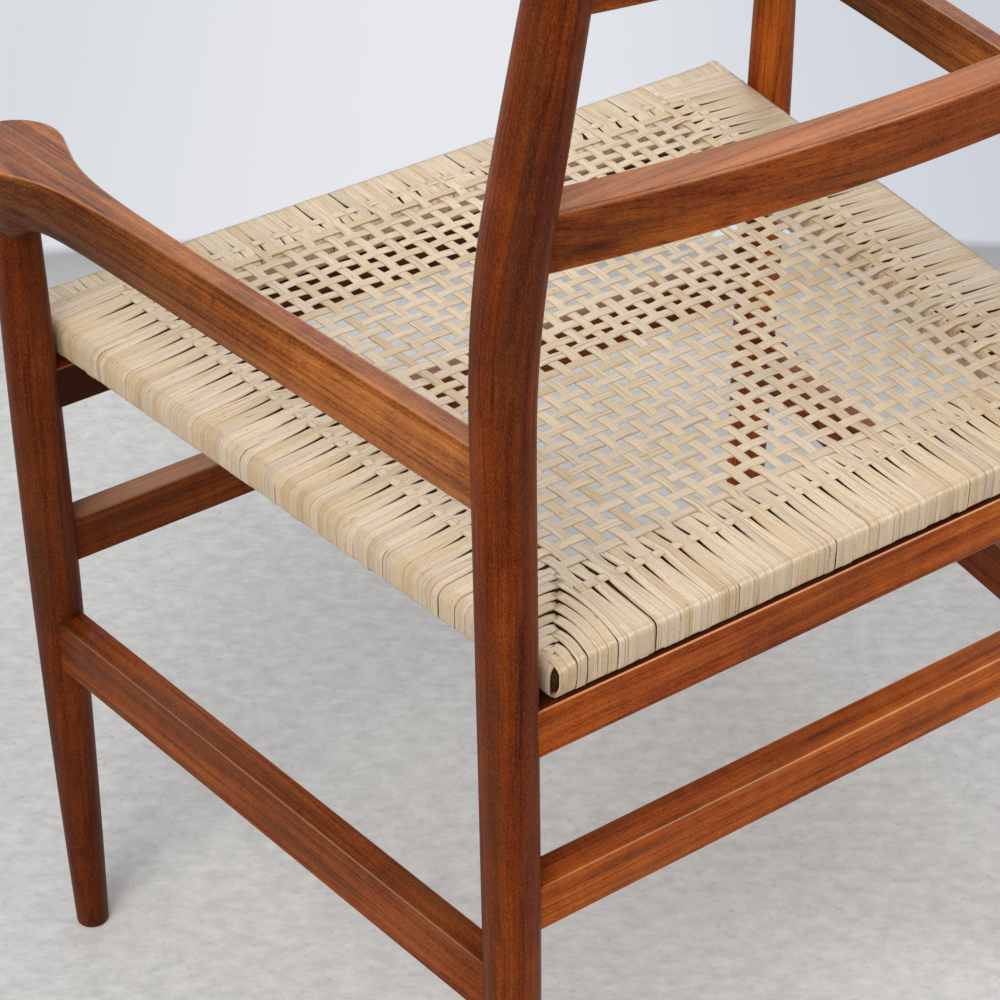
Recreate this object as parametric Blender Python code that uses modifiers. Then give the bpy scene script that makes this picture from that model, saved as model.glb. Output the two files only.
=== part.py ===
"""Dining armchair with a wrapped cane seat panel.

Metres, +Z up. The chair faces -Y, +X is the sitter's left, and the origin is on the floor under the
middle of the chair. Every wooden bar ends in a tenon that sits in a mortise of the leg that carries it.
"""
import math

import bmesh
import bpy
from mathutils import Matrix, Vector

NAME = "dining_armchair"

# Plan of the four legs, between their axes at the seat rails
FRONT_WIDTH = 0.540
REAR_WIDTH = 0.452
LEG_DEPTH = 0.3985
FRONT_LEG_Y = -0.2133

# Turned front legs
FRONT_LEG_DIAMETER = 0.0300
FRONT_LEG_FOOT_DIAMETER = 0.0205
FRONT_LEG_TOP_DIAMETER = 0.0262
LEG_SWELL_HEIGHT = 0.310
LEG_TAPER_POWER = 1.8
LEG_TOP_TAPER_POWER = 2.4
LEG_FOOT_EASE = 0.0015
LEG_TENON_DIAMETER = 0.016
LEG_TENON_LENGTH = 0.024

# Shaped rear posts, leaning forward up to the bend and raked backward above it
POST_DIAMETER = 0.0302
POST_FOOT_DIAMETER = 0.0205
POST_BACK_DIAMETER = 0.0322
POST_TOP_DIAMETER = 0.0262
POST_TOP_TAPER_POWER = 1.45
POST_HEIGHT = 0.851
POST_LEAN_SLOPE = 0.029
POST_RAKE_SLOPE = 0.222
POST_BEND_HEIGHT = 0.575
POST_BEND_LENGTH = 0.125
POST_FOOT_LENGTH = 0.006

# Straight bars: height of the top face, height and thickness of the section
SEAT_RAIL_TOP = 0.4257
REAR_RAIL_HEIGHT = 0.0294
REAR_RAIL_THICKNESS = 0.0238
FRONT_RAIL_HEIGHT = 0.0264
FRONT_RAIL_THICKNESS = 0.0220
REAR_STRETCHER_TOP = 0.3117
REAR_STRETCHER_HEIGHT = 0.0295
REAR_STRETCHER_THICKNESS = 0.0195
FRONT_STRETCHER_TOP = 0.3189
FRONT_STRETCHER_HEIGHT = 0.0296
FRONT_STRETCHER_THICKNESS = 0.0171
SIDE_STRETCHER_TOP = 0.2545
SIDE_STRETCHER_HEIGHT = 0.0368
SIDE_STRETCHER_THICKNESS = 0.0171
BAR_EASE = 0.0014

# Bowed back rails, between the raked posts
LOWER_RAIL_MID_HEIGHT = 0.6855
LOWER_RAIL_HEIGHT = 0.0335
LOWER_RAIL_THICKNESS = 0.0175
TOP_RAIL_DROP = 0.0287
TOP_RAIL_HEIGHT = 0.0394
TOP_RAIL_THICKNESS = 0.0175
BACK_RAIL_BOW = 0.0227
BACK_RAIL_TILT = 0.165
BACK_RAIL_EASE = 0.0020

# Arms: a round paddle over the front leg that fades into a narrow shaft
ARM_TOP = 0.5687
ARM_SHAFT_HEIGHT = 0.0315
ARM_FOOT_DEPTH = 0.0480
PADDLE_RADIUS = 0.0292
PADDLE_WAIST_RADIUS = 0.0205
PADDLE_FOOT_RADIUS = 0.0148
PADDLE_SETBACK = 0.004
PADDLE_FADE = 0.043
ARM_FOOT_FLAT = 0.0150
ARM_FOOT_FADE = 0.018
ARM_TOP_HALF_WIDTH = 0.0054
ARM_WAIST_HALF_WIDTH = 0.0122
ARM_BOTTOM_HALF_WIDTH = 0.0098
ARM_TOP_EASE = 0.0010
ARM_BOTTOM_EASE = 0.0024

# Tenons of the bars
TENON_SHOULDER = 0.004
TENON_PAST_AXIS = 0.004
TENON_ROOT = 0.003

# Seat panel: a wooden frame wrapped in cane, with an open cane field
PANEL_THICKNESS = 0.0222
PANEL_FRONT_OVERHANG = 0.0408
PANEL_LEG_GAP = 0.0006
PANEL_POST_GAP = 0.0010
PANEL_EDGE_RADIUS = 0.0075
CANE_EDGE_RADIUS = 0.0017
EDGE_LEAST = 0.0002
CANE_THICKNESS = 0.0015
FRONT_BORDER = 0.0460
REAR_BORDER = 0.0640
SIDE_BORDER = 0.0665
FRAME_TENON_LENGTH = 0.022
FRAME_TENON_SHOULDER = 0.010
FRAME_TENON_THICKNESS = 0.008
MITRE_OVERRUN = 0.2
NET_THICKNESS = 0.0025
NET_DROP = 0.0010
NET_COLUMNS = 16
NET_ROWS = 18
NET_STRAND = 0.0075

# Colours
WOOD_COLOUR = (0.24, 0.085, 0.030)
FRAME_WOOD_COLOUR = (0.30, 0.13, 0.055)
CANE_COLOUR = (0.70, 0.58, 0.40)
WOOD_ROUGHNESS = 0.42
CANE_ROUGHNESS = 0.55

# Fits and fineness
CLEARANCE = 0.0003
WELD = 0.00001
SMOOTH_ANGLE = math.radians(40)
FLAT_ANGLE = math.radians(0.1)
ROUND_SIDES = 24
EDGE_STEPS = 3
WRAP_EDGE_STEPS = 5
LEG_STEPS = 15
POST_STEM_STEPS = 10
POST_BEND_STEPS = 8
POST_UPPER_STEPS = 4
POST_DOME_ANGLES = (25, 45, 62, 76)
BACK_RAIL_STEPS = 24
ARM_DEPTH_STEPS = 6
ARM_EDGE_STEPS = 2
PADDLE_STEPS = 8
ARM_SHAFT_STEPS = 22
ARM_STEP_POWER = 1.5

# Worked out from the sizes above
SIDES = (("left", 1), ("right", -1))
FRONT_X = FRONT_WIDTH / 2
REAR_X = REAR_WIDTH / 2
REAR_POST_Y = FRONT_LEG_Y + LEG_DEPTH
PANEL_BOTTOM = SEAT_RAIL_TOP + CLEARANCE
PANEL_TOP = PANEL_BOTTOM + PANEL_THICKNESS
ARM_FOOT = ARM_TOP - ARM_FOOT_DEPTH
ARM_SHAFT_BOTTOM = ARM_TOP - ARM_SHAFT_HEIGHT
TOP_RAIL_MID_HEIGHT = POST_HEIGHT - TOP_RAIL_DROP
SKIN = CANE_THICKNESS + CLEARANCE


def clear_scene():
    for item in list(bpy.data.objects):
        bpy.data.objects.remove(item)


def new_collection(name):
    collection = bpy.data.collections.new(name)
    bpy.context.scene.collection.children.link(collection)
    return collection


def wood(name, colour):
    return principled(name, colour, WOOD_ROUGHNESS)


def cane(name, colour):
    return principled(name, colour, CANE_ROUGHNESS)


def principled(name, colour, roughness):
    material = bpy.data.materials.new(name)
    material.use_nodes = True
    shader = material.node_tree.nodes["Principled BSDF"]
    shader.inputs["Base Color"].default_value = (*colour, 1.0)
    shader.inputs["Roughness"].default_value = roughness
    shader.inputs["Metallic"].default_value = 0.0
    return material


clear_scene()
PARTS = new_collection(NAME)
CUTTERS = new_collection(NAME + "_cutters")


def finish(item, material_maker, colour):
    """Put a finished sub-part in the parts collection with a material of its own."""
    PARTS.objects.link(item)
    item.data.materials.clear()
    item.data.materials.append(material_maker(item.name, colour))
    return item


def helper(item):
    """Keep an object as a cutter or a tenon that another object takes in."""
    CUTTERS.objects.link(item)
    item.hide_render = True
    item.display_type = "WIRE"
    return item


def boolean(item, other, operation):
    modifier = item.modifiers.new(operation.lower(), "BOOLEAN")
    modifier.operation = operation
    modifier.solver = "EXACT"
    modifier.object = other


def box(name, size, frame):
    """A box of the given size, centred on the frame and along its axes."""
    mesh = bpy.data.meshes.new(name)
    shape = bmesh.new()
    bmesh.ops.create_cube(shape, size=1.0)
    bmesh.ops.scale(shape, vec=Vector(size), verts=shape.verts)
    shape.to_mesh(mesh)
    shape.free()
    item = bpy.data.objects.new(name, mesh)
    item.matrix_world = frame
    return item


def curve_to_mesh(item):
    """Replace a curve object by the mesh that it evaluates to, with its caps welded on."""
    bpy.context.scene.collection.objects.link(item)
    bpy.context.view_layer.update()
    evaluated = item.evaluated_get(bpy.context.evaluated_depsgraph_get())
    mesh = bpy.data.meshes.new_from_object(evaluated)
    shape = bmesh.new()
    shape.from_mesh(mesh)
    bmesh.ops.remove_doubles(shape, verts=shape.verts, dist=WELD)
    bmesh.ops.recalc_face_normals(shape, faces=shape.faces)
    shape.to_mesh(mesh)
    shape.free()
    solid = bpy.data.objects.new(item.name, mesh)
    solid.matrix_world = item.matrix_world.copy()
    name = item.name
    bpy.data.objects.remove(item)
    solid.name = name
    return solid


def merge_flat_faces(mesh):
    """Turn the triangles of each flat face into one face."""
    shape = bmesh.new()
    shape.from_mesh(mesh)
    bmesh.ops.dissolve_limit(shape, angle_limit=FLAT_ANGLE, verts=shape.verts, edges=shape.edges)
    shape.to_mesh(mesh)
    shape.free()


def smooth(item):
    item.data.shade_smooth()
    item.data.set_sharp_from_angle(angle=SMOOTH_ANGLE)
    return item


def closed_spline(curve, loop):
    """Add a closed outline of straight lines to a flat curve."""
    spline = curve.splines.new("POLY")
    spline.points.add(len(loop) - 1)
    spline.use_cyclic_u = True
    for point, (x, y) in zip(spline.points, loop):
        point.co = (x, y, 0.0, 1.0)


def flat_outline(name, loops, bottom, top):
    """A plate cut to closed plan outlines: the first is its edge and the others are holes."""
    curve = bpy.data.curves.new(name, "CURVE")
    curve.dimensions = "2D"
    curve.fill_mode = "BOTH"
    curve.extrude = (top - bottom) / 2
    for loop in loops:
        closed_spline(curve, loop)
    item = bpy.data.objects.new(name, curve)
    item.location.z = (top + bottom) / 2
    return curve_to_mesh(item)


# Front legs
def front_leg_radius(z):
    """Radius of a front leg: thickest at the swell, thinner to the foot and to the arm."""
    full = FRONT_LEG_DIAMETER / 2
    if z < LEG_SWELL_HEIGHT:
        fall = ((LEG_SWELL_HEIGHT - z) / LEG_SWELL_HEIGHT) ** LEG_TAPER_POWER
        return full - fall * (FRONT_LEG_DIAMETER - FRONT_LEG_FOOT_DIAMETER) / 2
    fall = ((z - LEG_SWELL_HEIGHT) / (ARM_FOOT - LEG_SWELL_HEIGHT)) ** LEG_TOP_TAPER_POWER
    return full - fall * (FRONT_LEG_DIAMETER - FRONT_LEG_TOP_DIAMETER) / 2


def front_leg_profile(grow):
    """Half outline of a front leg from its top down, at a distance outside the real surface."""
    shoulder = ARM_FOOT - CLEARANCE
    tenon_radius = LEG_TENON_DIAMETER / 2 + grow
    top = shoulder + LEG_TENON_LENGTH
    profile = [(0.0, top), (tenon_radius, top), (tenon_radius, shoulder)]
    for step in range(LEG_STEPS + 1):
        z = shoulder - (shoulder - LEG_FOOT_EASE) * step / LEG_STEPS
        profile.append((front_leg_radius(z) + grow, z))
    profile.append((front_leg_radius(0.0) - LEG_FOOT_EASE + grow, 0.0))
    profile.append((0.0, 0.0))
    return profile


def turned(name, profile, location):
    """A solid of revolution about the vertical through its location."""
    mesh = bpy.data.meshes.new(name)
    points = [(radius, 0.0, z) for radius, z in profile]
    edges = [(i, i + 1) for i in range(len(points) - 1)]
    mesh.from_pydata(points, edges, [])
    item = bpy.data.objects.new(name, mesh)
    item.location = location
    screw = item.modifiers.new("turn", "SCREW")
    screw.steps = ROUND_SIDES
    screw.render_steps = ROUND_SIDES
    screw.use_merge_vertices = True
    screw.merge_threshold = WELD
    return item


# Rear posts
def post_y(z):
    """Place of a rear post's axis: straight with a lean, then bent to a steady rake."""
    lean_y = REAR_POST_Y + POST_LEAN_SLOPE * (SEAT_RAIL_TOP - z)
    if z <= POST_BEND_HEIGHT:
        return lean_y
    turn = POST_RAKE_SLOPE + POST_LEAN_SLOPE
    if z <= POST_BEND_HEIGHT + POST_BEND_LENGTH:
        return lean_y + turn * (z - POST_BEND_HEIGHT) ** 2 / (2 * POST_BEND_LENGTH)
    return lean_y + turn * (z - POST_BEND_HEIGHT - POST_BEND_LENGTH / 2)


def post_radius(z):
    """Radius of a rear post: slim at the foot, fullest at the lower back rail, slim at the top."""
    full = POST_DIAMETER / 2
    if z < LEG_SWELL_HEIGHT:
        fall = ((LEG_SWELL_HEIGHT - z) / LEG_SWELL_HEIGHT) ** LEG_TAPER_POWER
        return full - fall * (POST_DIAMETER - POST_FOOT_DIAMETER) / 2
    if z < ARM_SHAFT_BOTTOM:
        return full
    if z < LOWER_RAIL_MID_HEIGHT:
        rise = (z - ARM_SHAFT_BOTTOM) / (LOWER_RAIL_MID_HEIGHT - ARM_SHAFT_BOTTOM)
        blend = rise * rise * (3 - 2 * rise)
        return full + blend * (POST_BACK_DIAMETER - POST_DIAMETER) / 2
    fall = ((z - LOWER_RAIL_MID_HEIGHT) / (POST_HEIGHT - LOWER_RAIL_MID_HEIGHT)) ** POST_TOP_TAPER_POWER
    return POST_BACK_DIAMETER / 2 - fall * (POST_BACK_DIAMETER - POST_TOP_DIAMETER) / 2


def post_stations():
    """Heights and radius factors along a post: the eased foot, the stem, the bend and the domed top."""
    dome = POST_TOP_DIAMETER / 2
    stem_end = POST_BEND_HEIGHT
    bend_end = POST_BEND_HEIGHT + POST_BEND_LENGTH
    dome_start = POST_HEIGHT - dome
    stations = [(0.0, 1 - LEG_FOOT_EASE / post_radius(0.0)), (LEG_FOOT_EASE, 1.0)]
    stations.append((POST_FOOT_LENGTH, 1.0))
    for step in range(1, POST_STEM_STEPS + 1):
        stations.append((POST_FOOT_LENGTH + (stem_end - POST_FOOT_LENGTH) * step / POST_STEM_STEPS, 1.0))
    for step in range(1, POST_BEND_STEPS + 1):
        stations.append((stem_end + POST_BEND_LENGTH * step / POST_BEND_STEPS, 1.0))
    for step in range(1, POST_UPPER_STEPS + 1):
        stations.append((bend_end + (dome_start - bend_end) * step / POST_UPPER_STEPS, 1.0))
    for angle in POST_DOME_ANGLES:
        turn = math.radians(angle)
        stations.append((dome_start + dome * math.sin(turn), math.cos(turn)))
    return stations


def post_solid(name, side, grow):
    """A round bar along a post's bent axis, at a distance outside the real surface."""
    curve = bpy.data.curves.new(name, "CURVE")
    curve.dimensions = "3D"
    curve.bevel_depth = 1.0
    curve.bevel_resolution = ROUND_SIDES // 2 - 2
    curve.use_fill_caps = True
    curve.twist_mode = "MINIMUM"
    stations = post_stations()
    spline = curve.splines.new("POLY")
    spline.points.add(len(stations) - 1)
    for point, (z, factor) in zip(spline.points, stations):
        point.co = (side * REAR_X, post_y(max(z, POST_FOOT_LENGTH)), z, 1.0)
        point.radius = post_radius(z) * factor + grow
    return curve_to_mesh(bpy.data.objects.new(name, curve))


# Joints between the bars and the legs
LEG_SOLIDS = {}
LEG_ENVELOPES = {}


def build_legs():
    for label, side in SIDES:
        place = (side * FRONT_X, FRONT_LEG_Y, 0.0)
        name = "front_leg_" + label
        LEG_SOLIDS[name] = smooth(finish(turned(name, front_leg_profile(0.0), place), wood, WOOD_COLOUR))
        LEG_ENVELOPES[name] = helper(turned(name + "_space", front_leg_profile(CLEARANCE), place))
        name = "rear_post_" + label
        LEG_SOLIDS[name] = smooth(finish(post_solid(name, side, 0.0), wood, WOOD_COLOUR))
        LEG_ENVELOPES[name] = helper(post_solid(name + "_space", side, CLEARANCE))


def leg_axis(leg, z):
    """The point on a leg's axis at a height."""
    side = 1 if leg.endswith("left") else -1
    if leg.startswith("front"):
        return Vector((side * FRONT_X, FRONT_LEG_Y, z))
    return Vector((side * REAR_X, post_y(z), z))


def leg_radius(leg, z):
    """The radius of a leg at a height."""
    return front_leg_radius(z) if leg.startswith("front") else post_radius(z)


def bar_frame(start, end, tilt=0.0):
    """Axes of a level bar from start to end: X along it, Z up, leaned by a tilt about its length."""
    along = (end - start).normalized()
    across = Vector((0, 0, 1)).cross(along)
    axes = Matrix((along, across, Vector((0, 0, 1)))).transposed().to_4x4()
    frame = Matrix.Translation((start + end) / 2) @ axes
    return frame @ Matrix.Rotation(tilt, 4, "X")


def join_to_leg(bar, leg, z, inward, height, thickness, tilt=0.0):
    """Cope a bar to a leg, give it a tenon there and cut the leg's mortise.

    The inward direction points from the leg along the bar.
    """
    axis = leg_axis(leg, z)
    reach = leg_radius(leg, z) + TENON_ROOT
    frame = bar_frame(axis - inward * TENON_PAST_AXIS, axis + inward * reach, tilt)
    length = TENON_PAST_AXIS + reach
    tenon_height = height - 2 * TENON_SHOULDER
    tenon_thickness = thickness - 2 * TENON_SHOULDER
    tenon_size = (length, tenon_thickness, tenon_height)
    tenon = helper(box(bar.name + "_tenon_" + leg, tenon_size, frame))
    space_size = [size + 2 * CLEARANCE for size in tenon_size]
    space = helper(box(bar.name + "_mortise_" + leg, space_size, frame))
    boolean(bar, LEG_ENVELOPES[leg], "DIFFERENCE")
    boolean(bar, tenon, "UNION")
    boolean(LEG_SOLIDS[leg], space, "DIFFERENCE")


def straight_bar(name, first_leg, second_leg, top, height, thickness):
    """A level bar with eased edges, tenoned into two legs."""
    z = top - height / 2
    start = leg_axis(first_leg, z)
    end = leg_axis(second_leg, z)
    bar = box(name, ((end - start).length, thickness, height), bar_frame(start, end))
    ease = bar.modifiers.new("ease", "BEVEL")
    ease.width = BAR_EASE
    ease.segments = 2
    finish(bar, wood, WOOD_COLOUR)
    along = (end - start).normalized()
    for leg, inward in ((first_leg, along), (second_leg, -along)):
        join_to_leg(bar, leg, z, inward, height, thickness)


def build_bars():
    straight_bar("front_seat_rail", "front_leg_left", "front_leg_right",
                 SEAT_RAIL_TOP, FRONT_RAIL_HEIGHT, FRONT_RAIL_THICKNESS)
    straight_bar("rear_seat_rail", "rear_post_left", "rear_post_right",
                 SEAT_RAIL_TOP, REAR_RAIL_HEIGHT, REAR_RAIL_THICKNESS)
    straight_bar("front_stretcher", "front_leg_left", "front_leg_right",
                 FRONT_STRETCHER_TOP, FRONT_STRETCHER_HEIGHT, FRONT_STRETCHER_THICKNESS)
    straight_bar("rear_stretcher", "rear_post_left", "rear_post_right",
                 REAR_STRETCHER_TOP, REAR_STRETCHER_HEIGHT, REAR_STRETCHER_THICKNESS)
    for label, _side in SIDES:
        straight_bar("side_stretcher_" + label, "front_leg_" + label, "rear_post_" + label,
                     SIDE_STRETCHER_TOP, SIDE_STRETCHER_HEIGHT, SIDE_STRETCHER_THICKNESS)


# Bowed back rails
def rounded_rectangle(width, height, right_radius, left_radius, steps):
    """Corner-rounded rectangle as a closed list of points about its middle."""
    points = []
    for quarter, sign_x, sign_y in ((0, 1, 1), (1, -1, 1), (2, -1, -1), (3, 1, -1)):
        radius = right_radius if sign_x > 0 else left_radius
        for step in range(steps + 1):
            angle = math.pi / 2 * (quarter + step / steps)
            x = sign_x * (width / 2 - radius) + radius * math.cos(angle)
            y = sign_y * (height / 2 - radius) + radius * math.sin(angle)
            points.append((x, y))
    return points


def bowed_rail(name, z, height, thickness):
    """A back rail bowed to the rear between the posts and leaned with them."""
    profile = bpy.data.curves.new(name + "_section", "CURVE")
    profile.dimensions = "2D"
    closed_spline(profile, rounded_rectangle(thickness, height, BACK_RAIL_EASE, BACK_RAIL_EASE, EDGE_STEPS))
    section_object = helper(bpy.data.objects.new(name + "_section", profile))
    path = bpy.data.curves.new(name, "CURVE")
    path.dimensions = "3D"
    path.twist_mode = "Z_UP"
    path.bevel_mode = "OBJECT"
    path.bevel_object = section_object
    path.use_fill_caps = True
    spline = path.splines.new("POLY")
    spline.points.add(BACK_RAIL_STEPS)
    for step, point in enumerate(spline.points):
        share = 1 - 2 * step / BACK_RAIL_STEPS
        point.co = (REAR_X * share, post_y(z) + BACK_RAIL_BOW * (1 - share ** 2), z, 1.0)
        point.tilt = BACK_RAIL_TILT
    rail = smooth(finish(curve_to_mesh(bpy.data.objects.new(name, path)), wood, WOOD_COLOUR))
    bpy.data.objects.remove(section_object)
    for label, side in SIDES:
        inward = Vector((-side, 0, 0))
        join_to_leg(rail, "rear_post_" + label, z, inward, height, thickness, BACK_RAIL_TILT * side)


# Arms
def arm_levels():
    """Depth shares and insets of the arm's plan outlines, from its eased top edge to its bottom edge."""
    top_share = ARM_TOP_EASE / ARM_SHAFT_HEIGHT
    bottom_share = ARM_BOTTOM_EASE / ARM_SHAFT_HEIGHT
    levels = []
    for step in range(ARM_EDGE_STEPS):
        angle = math.pi / 2 * step / ARM_EDGE_STEPS
        levels.append((top_share * (1 - math.cos(angle)), ARM_TOP_EASE * (1 - math.sin(angle))))
    for step in range(ARM_DEPTH_STEPS + 1):
        levels.append((top_share + (1 - bottom_share - top_share) * step / ARM_DEPTH_STEPS, 0.0))
    for step in range(1, ARM_EDGE_STEPS + 1):
        angle = math.pi / 2 * step / ARM_EDGE_STEPS
        levels.append((1 - bottom_share * (1 - math.sin(angle)), ARM_BOTTOM_EASE * (1 - math.cos(angle))))
    return levels


def through_three(top, middle, bottom, share):
    """The smooth curve through three values at shares 0, 1/2 and 1."""
    first = top * (1 - share) * (1 - 2 * share)
    second = middle * 4 * share * (1 - share)
    third = bottom * share * (2 * share - 1)
    return first + second + third


def fade(distance, length):
    """1 up to zero distance, then falling smoothly towards 0."""
    return (1 + (max(distance, 0.0) / length) ** 2) ** -1.5


def arm_outline(share, inset, length):
    """Plan points of the arm's outer half at one level, from the front tip to the rear end."""
    radius = through_three(PADDLE_RADIUS, PADDLE_WAIST_RADIUS, PADDLE_FOOT_RADIUS, share) - inset
    shaft = through_three(ARM_TOP_HALF_WIDTH, ARM_WAIST_HALF_WIDTH, ARM_BOTTOM_HALF_WIDTH, share) - inset
    middle = PADDLE_SETBACK * (1 - share)
    points = []
    for step in range(PADDLE_STEPS + 1):
        angle = math.pi / 2 * step / PADDLE_STEPS
        points.append((middle - radius * math.cos(angle), radius * math.sin(angle)))
    for step in range(1, ARM_SHAFT_STEPS + 1):
        along = middle + (length - middle) * (step / ARM_SHAFT_STEPS) ** ARM_STEP_POWER
        points.append((along, shaft + (radius - shaft) * fade(along - middle, PADDLE_FADE)))
    return points


def arm_bottom(along):
    """Height of the arm's underside: flat on the leg, then up to the shaft."""
    return ARM_SHAFT_BOTTOM - (ARM_SHAFT_BOTTOM - ARM_FOOT) * fade(along - ARM_FOOT_FLAT, ARM_FOOT_FADE)


def arm_solid(name, length):
    """The arm lofted through plan outlines at several depths, in its own frame.

    X runs from the front leg's axis to the post's axis, Y to one side and Z up from the floor.
    """
    shape = bmesh.new()
    rings = []
    for share, inset in arm_levels():
        half = arm_outline(share, inset, length)
        ring = []
        for along, width in reversed(half[1:]):
            ring.append((along, -width))
        for along, width in half:
            ring.append((along, width))
        vertices = []
        for along, width in ring:
            z = ARM_TOP - share * (ARM_TOP - arm_bottom(along))
            vertices.append(shape.verts.new((along, width, z)))
        rings.append(vertices)
    count = len(rings[0])
    for upper, lower in zip(rings, rings[1:]):
        for i in range(count - 1):
            shape.faces.new((upper[i], lower[i], lower[i + 1], upper[i + 1]))
    for ring in (rings[0], rings[-1]):
        for i in range((count - 3) // 2):
            shape.faces.new((ring[i], ring[i + 1], ring[count - 2 - i], ring[count - 1 - i]))
        tip = (count - 1) // 2
        shape.faces.new((ring[tip - 1], ring[tip], ring[tip + 1]))
    rear = [ring[0] for ring in rings] + [ring[-1] for ring in reversed(rings)]
    shape.faces.new(rear)
    bmesh.ops.recalc_face_normals(shape, faces=shape.faces)
    mesh = bpy.data.meshes.new(name)
    shape.to_mesh(mesh)
    shape.free()
    return bpy.data.objects.new(name, mesh)


def build_arms():
    z = (ARM_TOP + ARM_SHAFT_BOTTOM) / 2
    thickness = 2 * ARM_BOTTOM_HALF_WIDTH
    for label, side in SIDES:
        leg = "front_leg_" + label
        post = "rear_post_" + label
        start = leg_axis(leg, 0.0)
        end = Vector((side * REAR_X, post_y(z), 0.0))
        along = (end - start).normalized()
        arm = arm_solid("arm_" + label, (end - start).length)
        across = Vector((0, 0, 1)).cross(along)
        axes = Matrix((along, across, Vector((0, 0, 1)))).transposed().to_4x4()
        arm.matrix_world = Matrix.Translation(start) @ axes
        smooth(finish(arm, wood, WOOD_COLOUR))
        join_to_leg(arm, post, z, -along, ARM_SHAFT_HEIGHT, thickness)
        boolean(arm, leg_mortise(leg), "DIFFERENCE")


def leg_mortise(leg):
    """The round hole in an arm's underside for the tenon on top of a front leg."""
    radius = LEG_TENON_DIAMETER / 2 + CLEARANCE
    shape = bmesh.new()
    bmesh.ops.create_cone(shape, cap_ends=True, segments=ROUND_SIDES, radius1=radius, radius2=radius,
                          depth=2 * LEG_TENON_LENGTH)
    mesh = bpy.data.meshes.new(leg + "_mortise")
    shape.to_mesh(mesh)
    shape.free()
    hole = bpy.data.objects.new(leg + "_mortise", mesh)
    hole.location = leg_axis(leg, ARM_FOOT)
    return helper(hole)


# Seat panel
def panel_side():
    """Half width of the panel beside the front legs, and how much it narrows per metre to the rear.

    Its straight side runs just inside the front leg and just inside the rear post.
    """
    z = (PANEL_BOTTOM + PANEL_TOP) / 2
    front_off = front_leg_radius(z) + PANEL_LEG_GAP
    rear_off = post_radius(z) + PANEL_POST_GAP
    run = post_y(z) - FRONT_LEG_Y
    angle = math.atan2(FRONT_X - REAR_X, run)
    angle += math.asin((rear_off - front_off) / math.hypot(FRONT_X - REAR_X, run))
    return FRONT_X - front_off / math.cos(angle), math.tan(angle)


PANEL_LEG_HALF_WIDTH, PANEL_TAPER = panel_side()
PANEL_SLANT = math.hypot(1.0, PANEL_TAPER)
PANEL_FRONT = FRONT_LEG_Y - PANEL_FRONT_OVERHANG
PANEL_REAR = post_y(SEAT_RAIL_TOP - REAR_RAIL_HEIGHT / 2) + REAR_RAIL_THICKNESS / 2
PANEL_DEPTH = PANEL_REAR - PANEL_FRONT


def panel_half_width(y, inset):
    """Half width of the panel at a depth, less an inset square to its side."""
    return PANEL_LEG_HALF_WIDTH - PANEL_TAPER * (y - FRONT_LEG_Y) - inset * PANEL_SLANT


def panel_plan(front, rear, side):
    """Plan corners of the panel after insets from its front, rear and side edges.

    They go round from the front left corner: rear left, rear right, front right.
    """
    corners = []
    for sign, y in ((1, PANEL_FRONT + front), (1, PANEL_REAR - rear),
                    (-1, PANEL_REAR - rear), (-1, PANEL_FRONT + front)):
        corners.append(Vector((sign * panel_half_width(y, side), y)))
    return corners


def strip_plan(sign, front, rear, outside, inside):
    """Plan corners of a strip along one side of the panel, between two insets from its side edge."""
    outer = panel_plan(front, rear, outside)
    inner = panel_plan(front, rear, inside)
    return [(sign * point.x, point.y) for point in (outer[0], outer[1], inner[1], inner[0])]


def wrap_section(width, inset):
    """Section of a wrapped border at an inset from its face: full outer edges, tight inner edges."""
    inner_radius = max(CANE_EDGE_RADIUS - inset, EDGE_LEAST)
    return rounded_rectangle(width - 2 * inset, PANEL_THICKNESS - 2 * inset, inner_radius,
                             PANEL_EDGE_RADIUS - inset, WRAP_EDGE_STEPS)


def wrap_tube(name, width, length):
    """A straight tube of cane round one frame board, along its own Z, with its inner edge at +X."""
    curve = bpy.data.curves.new(name, "CURVE")
    curve.dimensions = "2D"
    curve.fill_mode = "BOTH"
    curve.extrude = length / 2
    for inset in (0.0, CANE_THICKNESS):
        closed_spline(curve, wrap_section(width, inset))
    return curve_to_mesh(bpy.data.objects.new(name, curve))


def build_wraps():
    """The cane wound round the four frame boards: tubes that meet at the corners in mitres."""
    borders = (("left", SIDE_BORDER), ("rear", REAR_BORDER), ("right", SIDE_BORDER), ("front", FRONT_BORDER))
    outer = panel_plan(0.0, 0.0, 0.0)
    inner = panel_plan(FRONT_BORDER, REAR_BORDER, SIDE_BORDER)
    for i, (label, width) in enumerate(borders):
        name = "cane_wrap_" + label
        after = (i + 1) % len(borders)
        edge = outer[after] - outer[i]
        along = edge.normalized()
        inward = Vector((-along.y, along.x))
        middle = (outer[i] + outer[after]) / 2 + inward * width / 2
        tube = wrap_tube(name, width, edge.length + width)
        tube.matrix_world = Matrix(((inward.x, 0, along.x, middle.x),
                                    (inward.y, 0, along.y, middle.y),
                                    (0, 1, 0, (PANEL_TOP + PANEL_BOTTOM) / 2),
                                    (0, 0, 0, 1)))
        gap = along * (CLEARANCE / 2)
        first_mitre = (inner[i] - outer[i]) * MITRE_OVERRUN
        second_mitre = (inner[after] - outer[after]) * MITRE_OVERRUN
        loop = (outer[i] - first_mitre + gap, outer[after] - second_mitre - gap,
                inner[after] + second_mitre - gap, inner[i] + first_mitre + gap)
        bottom = PANEL_BOTTOM - CANE_THICKNESS
        top = PANEL_TOP + CANE_THICKNESS
        block = flat_outline(name + "_mitre", [loop], bottom, top)
        boolean(tube, helper(block), "INTERSECT")
        smooth(finish(tube, cane, CANE_COLOUR))


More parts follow.
